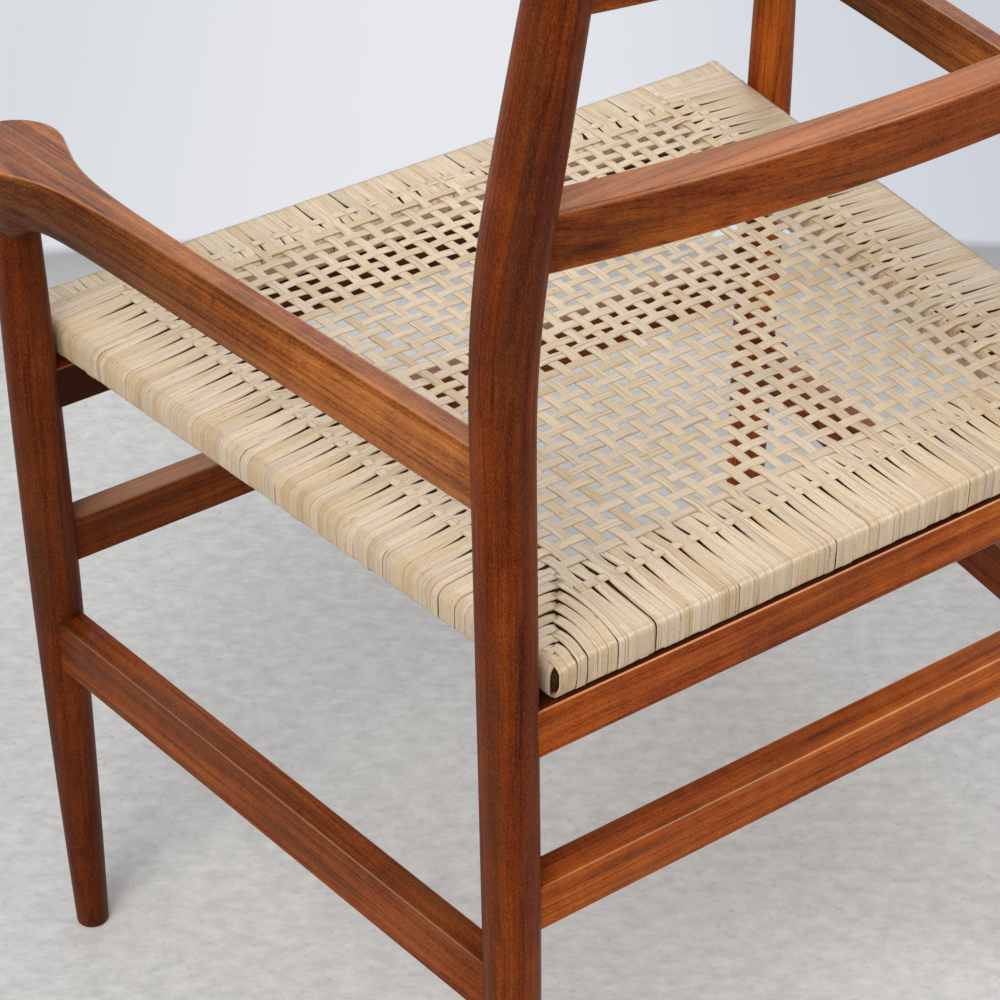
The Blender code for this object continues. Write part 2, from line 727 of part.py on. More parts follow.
def frame_board(name, plan):
    """One board of the seat frame with rounded edges."""
    board = flat_outline(name, [plan], PANEL_BOTTOM + SKIN, PANEL_TOP - SKIN)
    merge_flat_faces(board.data)
    ease = board.modifiers.new("ease", "BEVEL")
    ease.width = PANEL_EDGE_RADIUS - SKIN
    ease.segments = EDGE_STEPS
    return finish(board, wood, FRAME_WOOD_COLOUR)


def build_frame():
    """The wooden frame inside the cane: side boards tenoned into a front and a rear board."""
    front_edge = FRONT_BORDER - SKIN
    rear_edge = REAR_BORDER - SKIN
    front_board = frame_board("seat_frame_front", panel_plan(SKIN, PANEL_DEPTH - front_edge, SKIN))
    rear_board = frame_board("seat_frame_rear", panel_plan(PANEL_DEPTH - rear_edge, SKIN, SKIN))
    for label, sign in SIDES:
        name = "seat_frame_" + label
        board = frame_board(name, strip_plan(sign, front_edge + CLEARANCE, rear_edge + CLEARANCE,
                                             SKIN, SIDE_BORDER - SKIN))
        boolean(board, frame_tenon(name + "_tenon", sign, 0.0), "UNION")
        mortise = frame_tenon(name + "_mortise", sign, CLEARANCE)
        boolean(front_board, mortise, "DIFFERENCE")
        boolean(rear_board, mortise, "DIFFERENCE")


def frame_tenon(name, sign, grow):
    """The tongue through a side board that makes its two tenons, at a distance outside its surface."""
    reach = FRAME_TENON_LENGTH + grow
    inset = SKIN + FRAME_TENON_SHOULDER - grow
    front = FRONT_BORDER - SKIN - reach
    rear = REAR_BORDER - SKIN - reach
    plan = strip_plan(sign, front, rear, inset, SIDE_BORDER - inset)
    middle = (PANEL_TOP + PANEL_BOTTOM) / 2
    half = FRAME_TENON_THICKNESS / 2 + grow
    return helper(flat_outline(name, [plan], middle - half, middle + half))


def build_field():
    """The open cane field, as a flat net whose columns fan out to the front."""
    outline = panel_plan(FRONT_BORDER + CLEARANCE, REAR_BORDER + CLEARANCE, SIDE_BORDER + CLEARANCE)
    first = outline[0].y
    row_pitch = (outline[1].y - first) / NET_ROWS
    half_strand = NET_STRAND / 2

    def node(column, row, column_shift, row_shift):
        y = first + row * row_pitch + row_shift
        half_width = panel_half_width(y, SIDE_BORDER + CLEARANCE)
        return (half_width * (2 * column / NET_COLUMNS - 1) + column_shift, y)

    loops = [outline]
    for row in range(NET_ROWS):
        for column in range(NET_COLUMNS):
            loops.append((node(column, row, half_strand, half_strand),
                          node(column + 1, row, -half_strand, half_strand),
                          node(column + 1, row + 1, -half_strand, -half_strand),
                          node(column, row + 1, half_strand, -half_strand)))
    top = PANEL_TOP - NET_DROP
    finish(flat_outline("cane_field", loops, top - NET_THICKNESS, top), cane, CANE_COLOUR)


build_legs()
build_bars()
bowed_rail("lower_back_rail", LOWER_RAIL_MID_HEIGHT, LOWER_RAIL_HEIGHT, LOWER_RAIL_THICKNESS)
bowed_rail("top_back_rail", TOP_RAIL_MID_HEIGHT, TOP_RAIL_HEIGHT, TOP_RAIL_THICKNESS)
build_arms()
build_wraps()
build_frame()
build_field()
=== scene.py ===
"""The looks of a dining armchair with a woven cane seat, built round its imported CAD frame.

Lengths are in metres. The chair faces -Y, Z is up, and +X is the sitter's left.
"""

import math

import bpy
import numpy as np
from mathutils import Matrix, Vector


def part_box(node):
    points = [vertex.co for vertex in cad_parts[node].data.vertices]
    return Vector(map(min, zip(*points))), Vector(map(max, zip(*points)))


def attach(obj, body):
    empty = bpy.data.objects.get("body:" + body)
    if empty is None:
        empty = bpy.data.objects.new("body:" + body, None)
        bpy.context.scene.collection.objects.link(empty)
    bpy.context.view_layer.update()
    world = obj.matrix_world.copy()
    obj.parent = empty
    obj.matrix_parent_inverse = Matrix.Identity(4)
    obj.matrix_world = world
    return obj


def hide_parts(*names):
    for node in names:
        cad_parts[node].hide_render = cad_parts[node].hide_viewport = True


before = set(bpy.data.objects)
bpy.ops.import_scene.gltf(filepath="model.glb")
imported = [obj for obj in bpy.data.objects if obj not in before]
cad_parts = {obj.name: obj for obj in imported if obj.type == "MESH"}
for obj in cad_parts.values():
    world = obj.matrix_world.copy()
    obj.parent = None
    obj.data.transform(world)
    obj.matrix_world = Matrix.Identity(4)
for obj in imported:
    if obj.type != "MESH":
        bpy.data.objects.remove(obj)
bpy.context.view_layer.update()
rng = np.random.default_rng(11)

UP = np.array((0.0, 0.0, 1.0))
SIDES = (("left", 1), ("right", -1))


def by_border(rear, front, side):
    """A value for each border of the seat panel."""
    return {"rear": rear, "front": front, "left": side, "right": side}


# Camera of the photograph
CAMERA_PLACE = (0.8410, 1.0367, 1.2979)
CAMERA_HEADING = 0.9489
CAMERA_DIP = 0.6206
CAMERA_ROLL = 0.0015
CAMERA_LENS = 102.55
CAMERA_SENSOR = 36.0

# Legs and posts, as in the CAD source, with radii from the foot upward
FRONT_X = 0.270
REAR_X = 0.226
FRONT_LEG_Y = -0.2133
REAR_POST_Y = 0.1852
LEG_SWELL_HEIGHT = 0.310
LEG_FOOT_EASE = 0.0015
LEG_INTO_ARM = 0.004
LEG_TAPER_POWER = 1.8
LEG_TOP_TAPER_POWER = 2.4
FRONT_LEG_RADII = (0.01025, 0.0150, 0.0131)
POST_RADII = (0.01025, 0.0151, 0.0161, 0.0131)
POST_TOP_TAPER_POWER = 1.45
POST_HEIGHT = 0.851
POST_LEAN_SLOPE = 0.029
POST_RAKE_SLOPE = 0.222
POST_BEND_HEIGHT = 0.575
POST_BEND_LENGTH = 0.125
POST_FOOT_LENGTH = 0.006
ROUND_POINTS = 56
ROUND_GRAIN_SLOPE = 0.015
WOOD_SPAN = np.array((3, 0.02, 0.02))

# Bars: top, height, thickness, and painted light: painted highlights along the edges, and painted sheen above
# 0 and painted shade below 0 on the top and rear faces
SEAT_RAIL_TOP = 0.4257
BAR_EASE = 0.0011
BAR_STEPS = 9
EDGE_STEPS = 5
FROM_MIDDLE = np.abs(np.linspace(-1, 1, BAR_STEPS))
# Painted shade on the front seat rail's rear face under the seat panel, deeper toward the legs
FRONT_RAIL_END_SHADE = np.interp(FROM_MIDDLE, (0.55, 0.80), (-0.55, -0.93))[:, None]
# Painted shade under the seat on the tops of both seat rails and the rear stretcher, and painted sheen on the
# front stretcher's top
BARS = {
    "seat_rail_front": (SEAT_RAIL_TOP, 0.0264, 0.0220, (0.2, -0.25, FRONT_RAIL_END_SHADE)),
    "stretcher_front": (0.3189, 0.0296, 0.0171, (0.35, 0.34, 0.0)),
    "seat_rail_rear": (SEAT_RAIL_TOP, 0.0294, 0.0238, (1.0, -0.86, 0.0)),
    "stretcher_rear": (0.3117, 0.0295, 0.0195, (0.80, -0.30, 0.0)),
    "stretcher_side": (0.2545, 0.0368, 0.0171, (0.40, 0.0, 0.0)),
}

# Bowed back rails: middle height, height and thickness, with a dark streak and a darker end on the rear face
BACK_RAILS = {"lower": (0.6855, 0.0335, 0.0175), "top": (0.8223, 0.0394, 0.0175)}
BACK_RAIL_BOW = 0.0227
BACK_RAIL_TILT = 0.165
BACK_RAIL_EASE = 0.0020
# Painted highlights along the back rails' edges and painted sheen on their tops
BACK_RAIL_PAINTED_LIGHT = (0.34, 0.32, 0.0)
STREAK_PLACE, STREAK_LENGTH, STREAK_LEVEL, STREAK_HEIGHT, STREAK_DEPTH = 0.84, 0.09, -0.20, 0.22, 0.55
STREAK_WANDER, STREAK_WAVES = 0.25, 9
RAIL_SHADE_START, RAIL_SHADE_FADE, RAIL_SHADE = 0.45, 0.5, 0.35

# Arms, with radii and half widths at the top, the middle and the bottom
ARM_TOP = 0.5687
ARM_SHAFT_BOTTOM = 0.5372
ARM_FOOT = 0.5207
PADDLE_RADII = (0.0292, 0.0205, 0.0148)
ARM_HALF_WIDTHS = (0.0054, 0.0122, 0.0098)
PADDLE_SETBACK = 0.004
PADDLE_FADE = 0.043
ARM_FOOT_FLAT = 0.0150
ARM_FOOT_FADE = 0.018
ARM_TOP_EASE = 0.0010
PADDLE_EASE = 2.2
ARM_BOTTOM_EASE = 0.0024
# Painted shade on the arms: below on the sides, near the paddle and on the top; painted light on the sides
# toward the rear end
ARM_SHADE_START, ARM_SHADE_FADE = 0.06, 0.22
ARM_SHADE_BELOW, ARM_SHADE_PADDLE, ARM_SHADE_TOP = 0.15, 0.60, 0.13
ARM_PALER_START, ARM_PALER_FADE, ARM_PALER = 0.22, 0.12, 0.12
# Strength of the painted highlight along the arms' eased top edge
ARM_EDGE_HIGHLIGHT = 0.7
ARM_TOP_SHARE, ARM_EASED_SHARE = 0.12, 0.1
TIP_WELD = 0.00002

# Seat panel
front_low, front_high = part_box("cane_wrap_front")
PANEL_BOTTOM, PANEL_TOP, PANEL_FRONT = front_low.z, front_high.z, front_low.y
PANEL_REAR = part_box("cane_wrap_rear")[1].y
FRONT_HALF = 0.2595
REAR_HALF = 0.2084
SIDE_SLOPE = (FRONT_HALF - REAR_HALF) / (PANEL_REAR - PANEL_FRONT)
EDGE_RADIUS = by_border(0.0046, 0.0060, 0.0070)
LOWER_RADIUS = by_border(0.0036, 0.0050, 0.0050)
BOARD_WIDTH = by_border(0.0640, 0.0460, 0.0665)

# Cane strands: thickness, half widths, and the levels at which the windings' undersides lie
CANE = 0.0007
BASE = 0.0013
LOW, HIGH = PANEL_BOTTOM + BASE, PANEL_TOP - BASE
LENGTHWISE_HALF = 0.0034
CROSSWISE_HALF = 0.0032
CROSS_HALF = 0.0031
WIDTH_SPREAD = 0.05
STRAND_SECTION = np.array([(-1.0, 0.50), (-0.91, 0.94), (-0.72, 1.0), (0.72, 1.0),
                           (0.91, 0.94), (1.0, 0.50), (0.92, 0.0), (-0.92, 0.0)])

# Windings: their spacing, the slits between them, and their unevenness
WINDING_PITCH = 0.0060
PLACE_JITTER = by_border(0.0003, 0.0012, 0.0003)
SLIT = by_border(0.0027, 0.0019, 0.0027)
SLIT_START = by_border(0.0225, 0.0185, 0.0200)
LOWER_SLIT = 0.0014
OVERLAP = 0.00035
FACE_JITTER, FACE_LIMIT = 0.0004, 0.0005
PROUD = (-0.00008, 0.00022)
SPLIT_WIDTH, SPLIT_ABOVE = 0.00050, 0.006
SLIT_SPREAD = 0.0028
LOWER_SLIT_END, FULL_BEFORE_CROSS = 0.0035, 0.002
TAIL_SHORT = 0.0062
SPLIT_SHARE = by_border(0.40, 0.20, 0.22)
BOTTOM_RAISE = (0.0008, 0.0016)
RAISE_FADE = 0.012
INNER_BEND = 0.0035
INNER_PAST_CROSS = 0.0045

# Corners: a winding's tip, the mitre at the rear, opened at the near corner, and the lap at the front
CORNER_PITCH = 0.0058
CORNER_CLEAR = 0.0030
CORNER_LIFT = 0.0002
CORNER_JITTER, CORNER_LOOSE = 0.0002, 0.0003
CORNER_PROUD = (-0.0001, 0.0002)
TIP_RUN, TIP_NARROWING = 0.0045, 0.94
SHORTEST_TOP = 0.002
# How far each border's windings run past the mitre, and how deep their tips dip there
MITRE_ENDS = by_border((0.0012, 0.0003), None, (0.0010, 0.0007))
MITRE_OVERLAP = 0.0001
MITRE_BULGE, MITRE_BULGE_RUN = 0.0032, 0.05
OPENED_SHIFTS = (0.0006, 0.0010, 0.0010)
OPENED_LOOSE = (0.0024, 0.0012, 0.0005)
OPENED_GAP = 0.00012
FRONT_LAP = 0.0200
FRONT_PAST_LAP = 0.003
FRONT_THIN, FRONT_THIN_SHARE = 0.0006, 0.4
FRONT_CLEAR = 0.0058
LAP_DIP = 0.0011
TUCK_END = 0.0115
SIDE_SHORT = 0.001
UNDER_REACH = 0.0006
CLOSING_PLACE = 0.6
CORNER_DRAW = 0.0017 * np.array((0.0, 0.35, 0.7, 1.0))

# Bead rows and cross strands
BEAD_HALF = 0.0029
BEAD_LIFT = 0.0005
BEAD_LIFT_REACH = 0.0055
BEAD_RISE = 0.0006
BEAD_DROP = 0.0010
BEAD_REACH = by_border(0.0025, 0.0034, 0.0025)
BEAD_FALL = 0.0014
CROSS_LEVEL = -0.0010
CROSS_STEP = 0.0001
CROSS_CLEAR = 0.0002
CROSS_TUCK, CROSS_TUCK_START, CROSS_TUCK_RUN = 0.0008, 0.006, 0.004

# Layout of the weave: the fan of lengthwise strands, the rows across, and each border's bead and cross rows
FAN = (0.0090, 0.0103, 0.01247, -0.00631)
FAN_FIRST, FAN_LAST = -13, 12
ROW_TILT = 0.0091
ROW_COUNT = 28
REAR_ROW_GAPS = (0.0150, 0.0131, 0.0126, 0.0121)
ROW_WANDER, COLUMN_WANDER = 0.0005, 0.0004
ROWS = {"rear": (0.0438, 0.0643), "front": (0.0308, 0.0445)}
SIDE_BEAD = (0.0450, -0.028)
SIDE_CROSS_STEP = 0.0165
SIDE_COLUMN_REAR, SIDE_COLUMN_FRONT = 0.12, -0.20
SIDE_PAIR_INSET, SIDE_PAIR_SHIFT = 0.047, -0.0015
FIELD_DROP = 0.0006
FIELD_SAG = 0.0014


# Mesh helpers
def unit(vectors):
    return vectors / np.maximum(np.linalg.norm(vectors, axis=-1, keepdims=True), 1e-12)


def smooth_step(value):
    value = np.clip(value, 0.0, 1.0)
    return value * value * (3 - 2 * value)


def arc(steps):
    """Angles of a quarter turn."""
    return np.linspace(0, math.pi / 2, steps)


def add_object(name, data):
    item = bpy.data.objects.new(name, data)
    bpy.context.scene.collection.objects.link(item)
    return item


def make_object(name, points, faces, layers, weighted=False):
    """A smooth-shaded mesh object with per-point vectors and numbers for its material."""
    mesh = bpy.data.meshes.new(name)
    mesh.from_pydata(points.tolist(), [], faces)
    for layer, values in layers.items():
        kind, field = ("FLOAT_VECTOR", "vector") if values.ndim == 2 else ("FLOAT", "value")
        attribute = mesh.attributes.new(layer, kind, "POINT")
        attribute.data.foreach_set(field, np.ascontiguousarray(values, np.float32).ravel())
    mesh.polygons.foreach_set("use_smooth", [True] * len(mesh.polygons))
    if weighted:
        mesh.normals_split_custom_set_from_vertices(area_normals(mesh, points))
    mesh.update()
    return add_object(name, mesh)


def area_normals(mesh, points):
    """Point normals in which large faces count most, so flats stay flat beside eased edges."""
    normals = np.zeros_like(points)
    for polygon in mesh.polygons:
        for index in polygon.vertices:
            normals[index] += np.array(polygon.normal) * polygon.area
    return unit(normals).tolist()


def tube_faces(rings, around, closed=False):
    """Quads between successive rings of points, then the caps of the first and last ring of an open tube."""
    faces = []
    for i in range(rings if closed else rings - 1):
        j = (i + 1) % rings
        for a in range(around):
            b = (a + 1) % around
            faces.append((i * around + a, i * around + b, j * around + b, j * around + a))
    if not closed:
        faces.append(tuple(reversed(range(around))))
        faces.append(tuple(range((rings - 1) * around, rings * around)))
    return faces


def swept(name, rings, layers, weighted=True):
    """A closed body through rings of points, each ring anticlockwise seen from the far end."""
    count, around = rings.shape[:2]
    flat = {key: value.reshape(count * around, *value.shape[2:]) for key, value in layers.items()}
    return make_object(name, rings.reshape(-1, 3), tube_faces(count, around), flat, weighted)


def place(item, material, slot, *nodes):
    """Give a piece its material and its body, and hide the nodes that it stands for; its slot is not used."""
    item.data.materials.append(material)
    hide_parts(*nodes)
    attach(item, "root")


# Wood pieces
def foot_taper(z):
    """How far a leg has thinned below its swell: 0 at the swell, 1 at the floor."""
    return ((LEG_SWELL_HEIGHT - np.minimum(z, LEG_SWELL_HEIGHT)) / LEG_SWELL_HEIGHT) ** LEG_TAPER_POWER


def front_leg_radius(z):
    foot, full, top = FRONT_LEG_RADII
    above = np.clip(z, LEG_SWELL_HEIGHT, ARM_FOOT) - LEG_SWELL_HEIGHT
    high = (above / (ARM_FOOT - LEG_SWELL_HEIGHT)) ** LEG_TOP_TAPER_POWER
    return full - foot_taper(z) * (full - foot) - high * (full - top)


def post_y(z):
    """Place of a rear post's axis: straight with a lean, then bent to a steady rake."""
    z = np.asarray(z, float)
    turn = POST_RAKE_SLOPE + POST_LEAN_SLOPE
    past = np.clip(z - POST_BEND_HEIGHT, 0.0, POST_BEND_LENGTH)
    beyond = np.maximum(z - POST_BEND_HEIGHT - POST_BEND_LENGTH, 0.0)
    bend = turn * past ** 2 / (2 * POST_BEND_LENGTH) + turn * beyond
    return REAR_POST_Y + POST_LEAN_SLOPE * (SEAT_RAIL_TOP - z) + bend


def post_radius(z):
    foot, full, back, top = POST_RADII
    rail = BACK_RAILS["lower"][0]
    swell = smooth_step((z - ARM_SHAFT_BOTTOM) / (rail - ARM_SHAFT_BOTTOM))
    high = (np.maximum(z - rail, 0.0) / (POST_HEIGHT - rail)) ** POST_TOP_TAPER_POWER
    return full - foot_taper(z) * (full - foot) + swell * (back - full) - high * (back - top)


def piece_shift():
    """A random place in the wood, so that no two pieces share their figure."""
    return rng.uniform(-WOOD_SPAN, WOOD_SPAN)


def grain_frame(origin, along, shift):
    """Function from points to wood places: along the piece, across it and up it, moved by a shift."""
    along = unit(np.asarray(along, float))
    across = unit(np.cross(UP, along))
    axes = np.stack([along, across, np.cross(along, across)], 1)
    return lambda points: (points - np.asarray(origin, float)) @ axes + shift


def round_bar(name, axis, radii):
    """A round body along an axis line, with grain that follows the axis."""
    side = np.array((1.0, 0.0, 0.0))
    front = unit(np.cross(unit(np.gradient(axis, axis=0)), side))
    turn = np.linspace(0, 2 * math.pi, ROUND_POINTS, endpoint=False)[:, None]
    offsets = (np.cos(turn) * side + np.sin(turn) * front[:, None]) * radii[:, None, None]
    rings = axis[:, None] + offsets
    height = rings[..., 2]
    grain = np.stack([height, offsets[..., 0] + ROUND_GRAIN_SLOPE * height, offsets[..., 1]], -1)
    return swept(name, rings, {"grain": grain + piece_shift()}, weighted=False)


def turned_pair(name, node, x, y_at, stem, radius_at, materials):
    """A left and a right round piece on an eased foot, along the heights of its stem."""
    turn = arc(6)
    heights = np.concatenate([LEG_FOOT_EASE * (1 - np.cos(turn)), stem])
    radii = radius_at(heights)
    radii[:len(turn)] -= LEG_FOOT_EASE * (1 - np.sin(turn))
    for (label, side), material in zip(SIDES, materials):
        axis = np.stack([np.full_like(heights, side * x), y_at(heights), heights], 1)
        place(round_bar(name + label, axis, radii), material, "wood", node + label)


def build_front_legs(materials):
    stem = np.linspace(LEG_FOOT_EASE, ARM_FOOT + LEG_INTO_ARM, 70)[1:]
    turned_pair("leg_front_", "front_leg_", FRONT_X, lambda z: np.full_like(z, FRONT_LEG_Y), stem,
                front_leg_radius, materials)


def build_posts(material):
    """The rear posts, with domed tops."""
    dome = POST_RADII[3]
    dome_start = POST_HEIGHT - dome
    cap = np.radians(np.linspace(0, 88, 13))[1:]
    stem = np.linspace(LEG_FOOT_EASE, dome_start, 120)[1:]
    stem = np.concatenate([stem, dome_start + dome * np.sin(cap)])

    def radius_at(z):
        radii = post_radius(z)
        radii[-len(cap):] *= np.cos(cap)
        return radii

    turned_pair("post_rear_", "rear_post_", REAR_X, lambda z: post_y(np.maximum(z, POST_FOOT_LENGTH)), stem,
                radius_at, (material, material))


def rounded_rectangle(width, height, radius, steps):
    points = []
    for quarter, sx, sy in ((0, 1, 1), (1, -1, 1), (2, -1, -1), (3, 1, -1)):
        for angle in np.linspace(quarter, quarter + 1, steps + 1) * math.pi / 2:
            points.append((sx * (width / 2 - radius) + radius * math.cos(angle),
                           sy * (height / 2 - radius) + radius * math.sin(angle)))
    return np.array(points)


def bar_rings(line, across, upward, section):
    """Rings of a section along a line."""
    across, upward = np.atleast_2d(across)[:, None], np.atleast_2d(upward)[:, None]
    return line[:, None] + section[:, :1] * across + section[:, 1:] * upward


def painted_light_layer(count, steps, painted_highlight, top, rear):
    """Painted light of each point of a bar: above 0 for painted highlights along its edges and painted sheen
    on its top, and below 0 for painted shade.
    """
    painted_light_and_streak = np.tile(painted_highlight * np.sin(np.linspace(0, math.pi, steps + 1)) ** 2, (count, 4))
    painted_light_and_streak[:, steps:steps + 2] = top
    painted_light_and_streak[:, [0, -1]] = rear
    return painted_light_and_streak


def build_bar(name, node, start, end, bar, material):
    top, height, thickness, painted_light_and_streak = bar
    z = top - height / 2
    start, end = np.array((*start, z)), np.array((*end, z))
    line = start + np.linspace(0, 1, BAR_STEPS)[:, None] * (end - start)
    along = unit(end - start)
    section = rounded_rectangle(thickness, height, BAR_EASE, EDGE_STEPS)
    rings = bar_rings(line, np.cross(UP, along), UP, section)
    grain = grain_frame((start + end) / 2, along, piece_shift())
    layers = {"grain": grain(rings), "painted_light_and_streak": painted_light_layer(BAR_STEPS, EDGE_STEPS, *painted_light_and_streak)}
    place(swept(name, rings, layers), material, "wood", node)


def build_bars(woods):
    """The seat rails and the stretchers, between the axes of the legs that they join."""
    for name, bar in BARS.items():
        kind, end = name.rsplit("_", 1)
        node, wood = end + "_" + kind, woods[end + "_bars"]
        rear_y = float(post_y(bar[0] - bar[1] / 2))
        if end == "side":
            for label, side in SIDES:
                build_bar(name + "_" + label, node + "_" + label, (side * FRONT_X, FRONT_LEG_Y),
                          (side * REAR_X, rear_y), bar, wood)
        else:
            x, y = (FRONT_X, FRONT_LEG_Y) if end == "front" else (REAR_X, rear_y)
            build_bar(name, node, (-x, y), (x, y), bar, wood)


def build_back_rail(label, material):
    z, height, thickness = BACK_RAILS[label]
    share = np.linspace(-1, 1, 61)[:, None]
    line = np.hstack([REAR_X * share, post_y(z) + BACK_RAIL_BOW * (1 - share ** 2), np.full_like(share, z)])
    level = np.cross(UP, unit(np.gradient(line, axis=0)))
    across = math.cos(BACK_RAIL_TILT) * level - math.sin(BACK_RAIL_TILT) * UP
    upward = math.sin(BACK_RAIL_TILT) * level + math.cos(BACK_RAIL_TILT) * UP
    edge_steps = EDGE_STEPS + 1
    rise = np.linspace(-1, 1, 15)[1:-1]
    rear_face = np.stack([np.full_like(rise, thickness / 2), rise * (height / 2 - BACK_RAIL_EASE)], 1)
    section = np.concatenate([rounded_rectangle(thickness, height, BACK_RAIL_EASE, edge_steps), rear_face])
    rings = bar_rings(line, across, upward, section)
    grain = grain_frame((0, float(post_y(z)), z), (1, 0, 0), piece_shift())
    wander = rise - STREAK_LEVEL + STREAK_WANDER * np.sin(STREAK_WAVES * share)
    streak = np.exp(-((share - STREAK_PLACE) / STREAK_LENGTH) ** 2 - (wander / STREAK_HEIGHT) ** 2)
    shade = STREAK_DEPTH * streak + RAIL_SHADE * smooth_step((share - RAIL_SHADE_START) / RAIL_SHADE_FADE)
    # Painted highlights and painted sheen, with the dark streak and the darker end on the rear face
    painted_light_and_streak = np.concatenate([painted_light_layer(len(rings), edge_steps, *BACK_RAIL_PAINTED_LIGHT), -shade], 1)
    item = swept("back_rail_" + label, rings, {"grain": grain(rings), "painted_light_and_streak": painted_light_and_streak})
    place(item, material, "wood", label + "_back_rail")


def through_three(values, share):
    """A smooth curve through values at the shares 0, one half and 1."""
    top, middle, bottom = values
    return (top * (1 - share) * (1 - 2 * share) + middle * 4 * share * (1 - share)
            + bottom * share * (2 * share - 1))


def fade(distance, length):
    return (1 + (np.maximum(distance, 0.0) / length) ** 2) ** -1.5


def arm_levels():
    """Depth shares, insets and painted edge highlight from the eased top edge to the eased bottom edge."""
    height = ARM_TOP - ARM_SHAFT_BOTTOM
    top_share, bottom_share = ARM_TOP_EASE / height, ARM_BOTTOM_EASE / height
    turn = arc(7)
    top = np.stack([top_share * (1 - np.cos(turn)), ARM_TOP_EASE * (1 - np.sin(turn)), np.sin(2 * turn)], 1)
    flank = np.linspace(top_share, 1 - bottom_share, 20)[1:]
    flank = np.stack([flank, 0 * flank, 0 * flank], 1)
    inset = ARM_BOTTOM_EASE * (1 - np.cos(turn))
    bottom = np.stack([1 - bottom_share * (1 - np.sin(turn)), inset, 0 * turn], 1)
    return np.concatenate([top, flank, bottom[1:]])


def build_arm(label, side, material):
    """The arm as rings across its length, from the paddle's tip to the rear post."""
    height = 0.5 * (ARM_TOP + ARM_SHAFT_BOTTOM)
    start = np.array((side * FRONT_X, FRONT_LEG_Y, 0.0))
    end = np.array((side * REAR_X, float(post_y(height)), 0.0))
    length = np.linalg.norm(end - start)
    along = (end - start) / length
    across = np.cross(UP, along)
    levels = arm_levels()
    rows = []
    for share, inset, _ in levels:
        ease = PADDLE_EASE if share < ARM_EASED_SHARE else 1.0
        radius = through_three(PADDLE_RADII, share) - inset * ease
        shaft = through_three(ARM_HALF_WIDTHS, share) - inset
        middle = PADDLE_SETBACK * (1 - share)
        turn = arc(25)
        run = middle + (length - middle) * np.linspace(0, 1, 60)[1:] ** 1.5
        width = shaft + (radius - shaft) * fade(run - middle, PADDLE_FADE)
        x = np.concatenate([middle - radius * np.cos(turn), run])
        w = np.concatenate([radius * np.sin(turn), width])
        bottom = ARM_SHAFT_BOTTOM - (ARM_SHAFT_BOTTOM - ARM_FOOT) * fade(x - ARM_FOOT_FLAT, ARM_FOOT_FADE)
        rows.append(np.stack([x, w, ARM_TOP - share * (ARM_TOP - bottom)], 1))
    half = np.stack(rows)
    loops = np.concatenate([half, half[::-1] * (1, -1, 1)]).transpose(1, 0, 2)
    points = start + loops[..., :1] * along + loops[..., 1:2] * across
    points[..., 2] = loops[..., 2]
    faces = [face[::-1] for face in tube_faces(*points.shape[:2])]
    del faces[-2]  # the tip is an edge, with no cap
    flat = points.reshape(-1, 3)
    grain = grain_frame(start + ARM_TOP * UP, along, piece_shift())
    depth, painted_highlight = np.concatenate([levels, levels[::-1]])[:, (0, 2)].T
    # Painted shade below, near the paddle and on the top, less painted light toward the rear, and painted
    # highlights along the eased top edge
    near_paddle = 1 - smooth_step((loops[..., 0] - ARM_SHADE_START) / ARM_SHADE_FADE)
    on_side = smooth_step(depth / ARM_TOP_SHARE)
    paler = ARM_PALER * smooth_step((loops[..., 0] - ARM_PALER_START) / ARM_PALER_FADE)
    shade = on_side * (ARM_SHADE_BELOW * depth ** 2 + ARM_SHADE_PADDLE * near_paddle - paler)
    shade = shade + (1 - on_side) * ARM_SHADE_TOP
    layers = {"grain": grain(flat), "painted_light_and_streak": (ARM_EDGE_HIGHLIGHT * painted_highlight - shade).ravel()}
    item = make_object("armrest_" + label, flat, faces, layers)
    join_tip(item)
    place(item, material, "wood", "arm_" + label)


def join_tip(item):
    """Join the paddle's tip, where both halves meet, and set normals by face area."""
    mesh = item.data
    weld = item.modifiers.new("weld", "WELD")
    weld.merge_threshold = TIP_WELD
    graph = bpy.context.evaluated_depsgraph_get()
    welded = bpy.data.meshes.new_from_object(item.evaluated_get(graph))
    item.modifiers.clear()
    item.data = welded
    bpy.data.meshes.remove(mesh)
    points = np.array([vertex.co for vertex in welded.vertices])
    welded.normals_split_custom_set_from_vertices(area_normals(welded, points))


# Cane weave
class Strands:
    """Ribbons of cane gathered into one mesh."""

    def __init__(self, name):
        self.name = name
        self.points, self.places, self.faces = [], [], []
        self.count = 0

    def add(self, line, normals, half, closed=False, tone=None):
        line, around = np.asarray(line, float), len(STRAND_SECTION)
        if closed:
            tangent = unit(np.roll(line, -1, 0) - np.roll(line, 1, 0))
        else:
            tangent = unit(np.gradient(line, axis=0))
        normals = unit(normals - (normals * tangent).sum(1, keepdims=True) * tangent)
        across = np.cross(tangent, normals)
        wide = STRAND_SECTION[:, 0] * np.broadcast_to(half, len(line))[:, None]
        tall = STRAND_SECTION[:, 1:] * CANE
        rings = line[:, None] + across[:, None] * wide[..., None] + normals[:, None] * tall
        steps = np.linalg.norm(np.diff(line, axis=0), axis=1)
        travel = np.concatenate([[0], np.cumsum(steps)]) + rng.uniform(0, 4)
        tone = rng.random() if tone is None else tone
        places = np.stack([np.broadcast_to(travel[:, None], wide.shape), wide, np.full(wide.shape, tone)], -1)
        faces = tube_faces(len(line), around, closed)
        self.faces += [tuple(self.count + index for index in face) for face in faces]
        self.points.append(rings.reshape(-1, 3))
        self.places.append(places.reshape(-1, 3))
        self.count += len(line) * around

    def build(self, material, node):
        layers = {"strand": np.concatenate(self.places)}
        place(make_object(self.name, np.concatenate(self.points), self.faces, layers), material, "cane", node)


def half_width(y):
    return REAR_HALF + SIDE_SLOPE * (PANEL_REAR - y)


